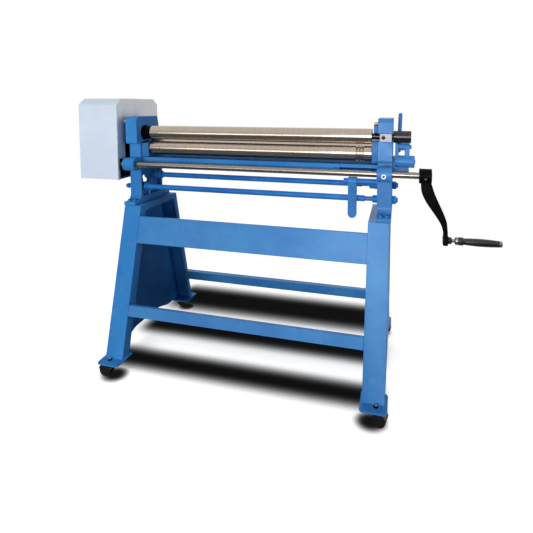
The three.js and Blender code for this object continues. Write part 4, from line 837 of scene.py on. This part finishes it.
world = bpy.data.worlds.new("studio")
bpy.context.scene.world = world
wn = WorldNodes(world)
camera_ray, seen = looked_at_by_camera(wn)
split = wn.new("SeparateXYZ")
wn.link(wn.coords, split.inputs[0])
backdrop = away_from_front(wn, split.outputs["Y"], -0.2, 0.35)
overhead = wn.span(split.outputs["Z"], 0.4, 0.95, 0.05, 0.6)
strength = maths(wn, "MAXIMUM", camera_ray, maths(wn, "MAXIMUM", backdrop, overhead))
white = wn.new("Background")
white.inputs["Color"].default_value = (1, 1, 1, 1)
wn.link(strength, white.inputs["Strength"])
wn.shader.inputs["Color"].default_value = (1, 1, 1, 1)
wn.shader.inputs["Strength"].default_value = AMBIENT
blend = mixed_shader(wn, seen, wn.shader.outputs[0], white.outputs[0])
wn.link(blend, wn.tree.nodes["World Output"].inputs["Surface"])


def sun(name, elevation, from_left, strength, angle):
    """A broad distant lamp, kept out of reflections; strength 1 square on shows a colour as it is written.

    from_left is its bearing in degrees: 0 is in front of the machine and 90 at its left.
    """
    data = bpy.data.lights.new(name, "SUN")
    data.energy = strength * math.pi
    data.angle = math.radians(angle)
    obj = bpy.data.objects.new(name, data)
    bpy.context.scene.collection.objects.link(obj)
    up, left = math.radians(elevation), math.radians(from_left)
    toward = Vector((-math.sin(left) * math.cos(up), -math.cos(left) * math.cos(up), math.sin(up)))
    obj.rotation_euler = toward.to_track_quat("Z", "Y").to_euler()
    obj.visible_glossy = False


def softbox(name, place, target, watts, width, height, spread):
    """A rectangular lamp that metal shows as a soft highlight."""
    data = bpy.data.lights.new(name, "AREA")
    data.shape = "RECTANGLE"
    data.energy = watts
    data.size = width
    data.size_y = height
    data.spread = math.radians(spread)
    obj = bpy.data.objects.new(name, data)
    bpy.context.scene.collection.objects.link(obj)
    obj.location = place
    obj.rotation_euler = (place - target).to_track_quat("Z", "Y").to_euler()


sun("front", 2.5, 12, 0.68, 24)
sun("top", 74.5, 0, 0.34, 10)
sun("right", 2, -88, 0.36, 20)
sun("back", 8, 180, 0.32, 20)
sun("back_left", 8, 115, 0.4, 20)
softbox("strip", at(-480, -3000, 900), at(-480, 0, 900), 23.0, 3.0, 0.7, 180)
softbox("beside_camera", at(450, -1900, 1100), at(540, -150, 800), 0.9, 0.6, 0.6, 50)

# Camera at the photograph's viewpoint, found by a least-squares fit to the machine's straight edges

camera_data = bpy.data.cameras.new("camera")
camera = bpy.data.objects.new("camera", camera_data)
bpy.context.scene.collection.objects.link(camera)
camera.location = at(597.3, -1930.5, 1121.1)
camera.rotation_euler = (math.radians(85.305), 0, math.radians(16.14))
camera_data.sensor_width = 36
camera_data.lens = 31.03
camera_data.shift_y = -0.2322
camera_data.dof.use_dof = False
bpy.context.scene.camera = camera

bpy.context.scene.view_settings.view_transform = "Standard"
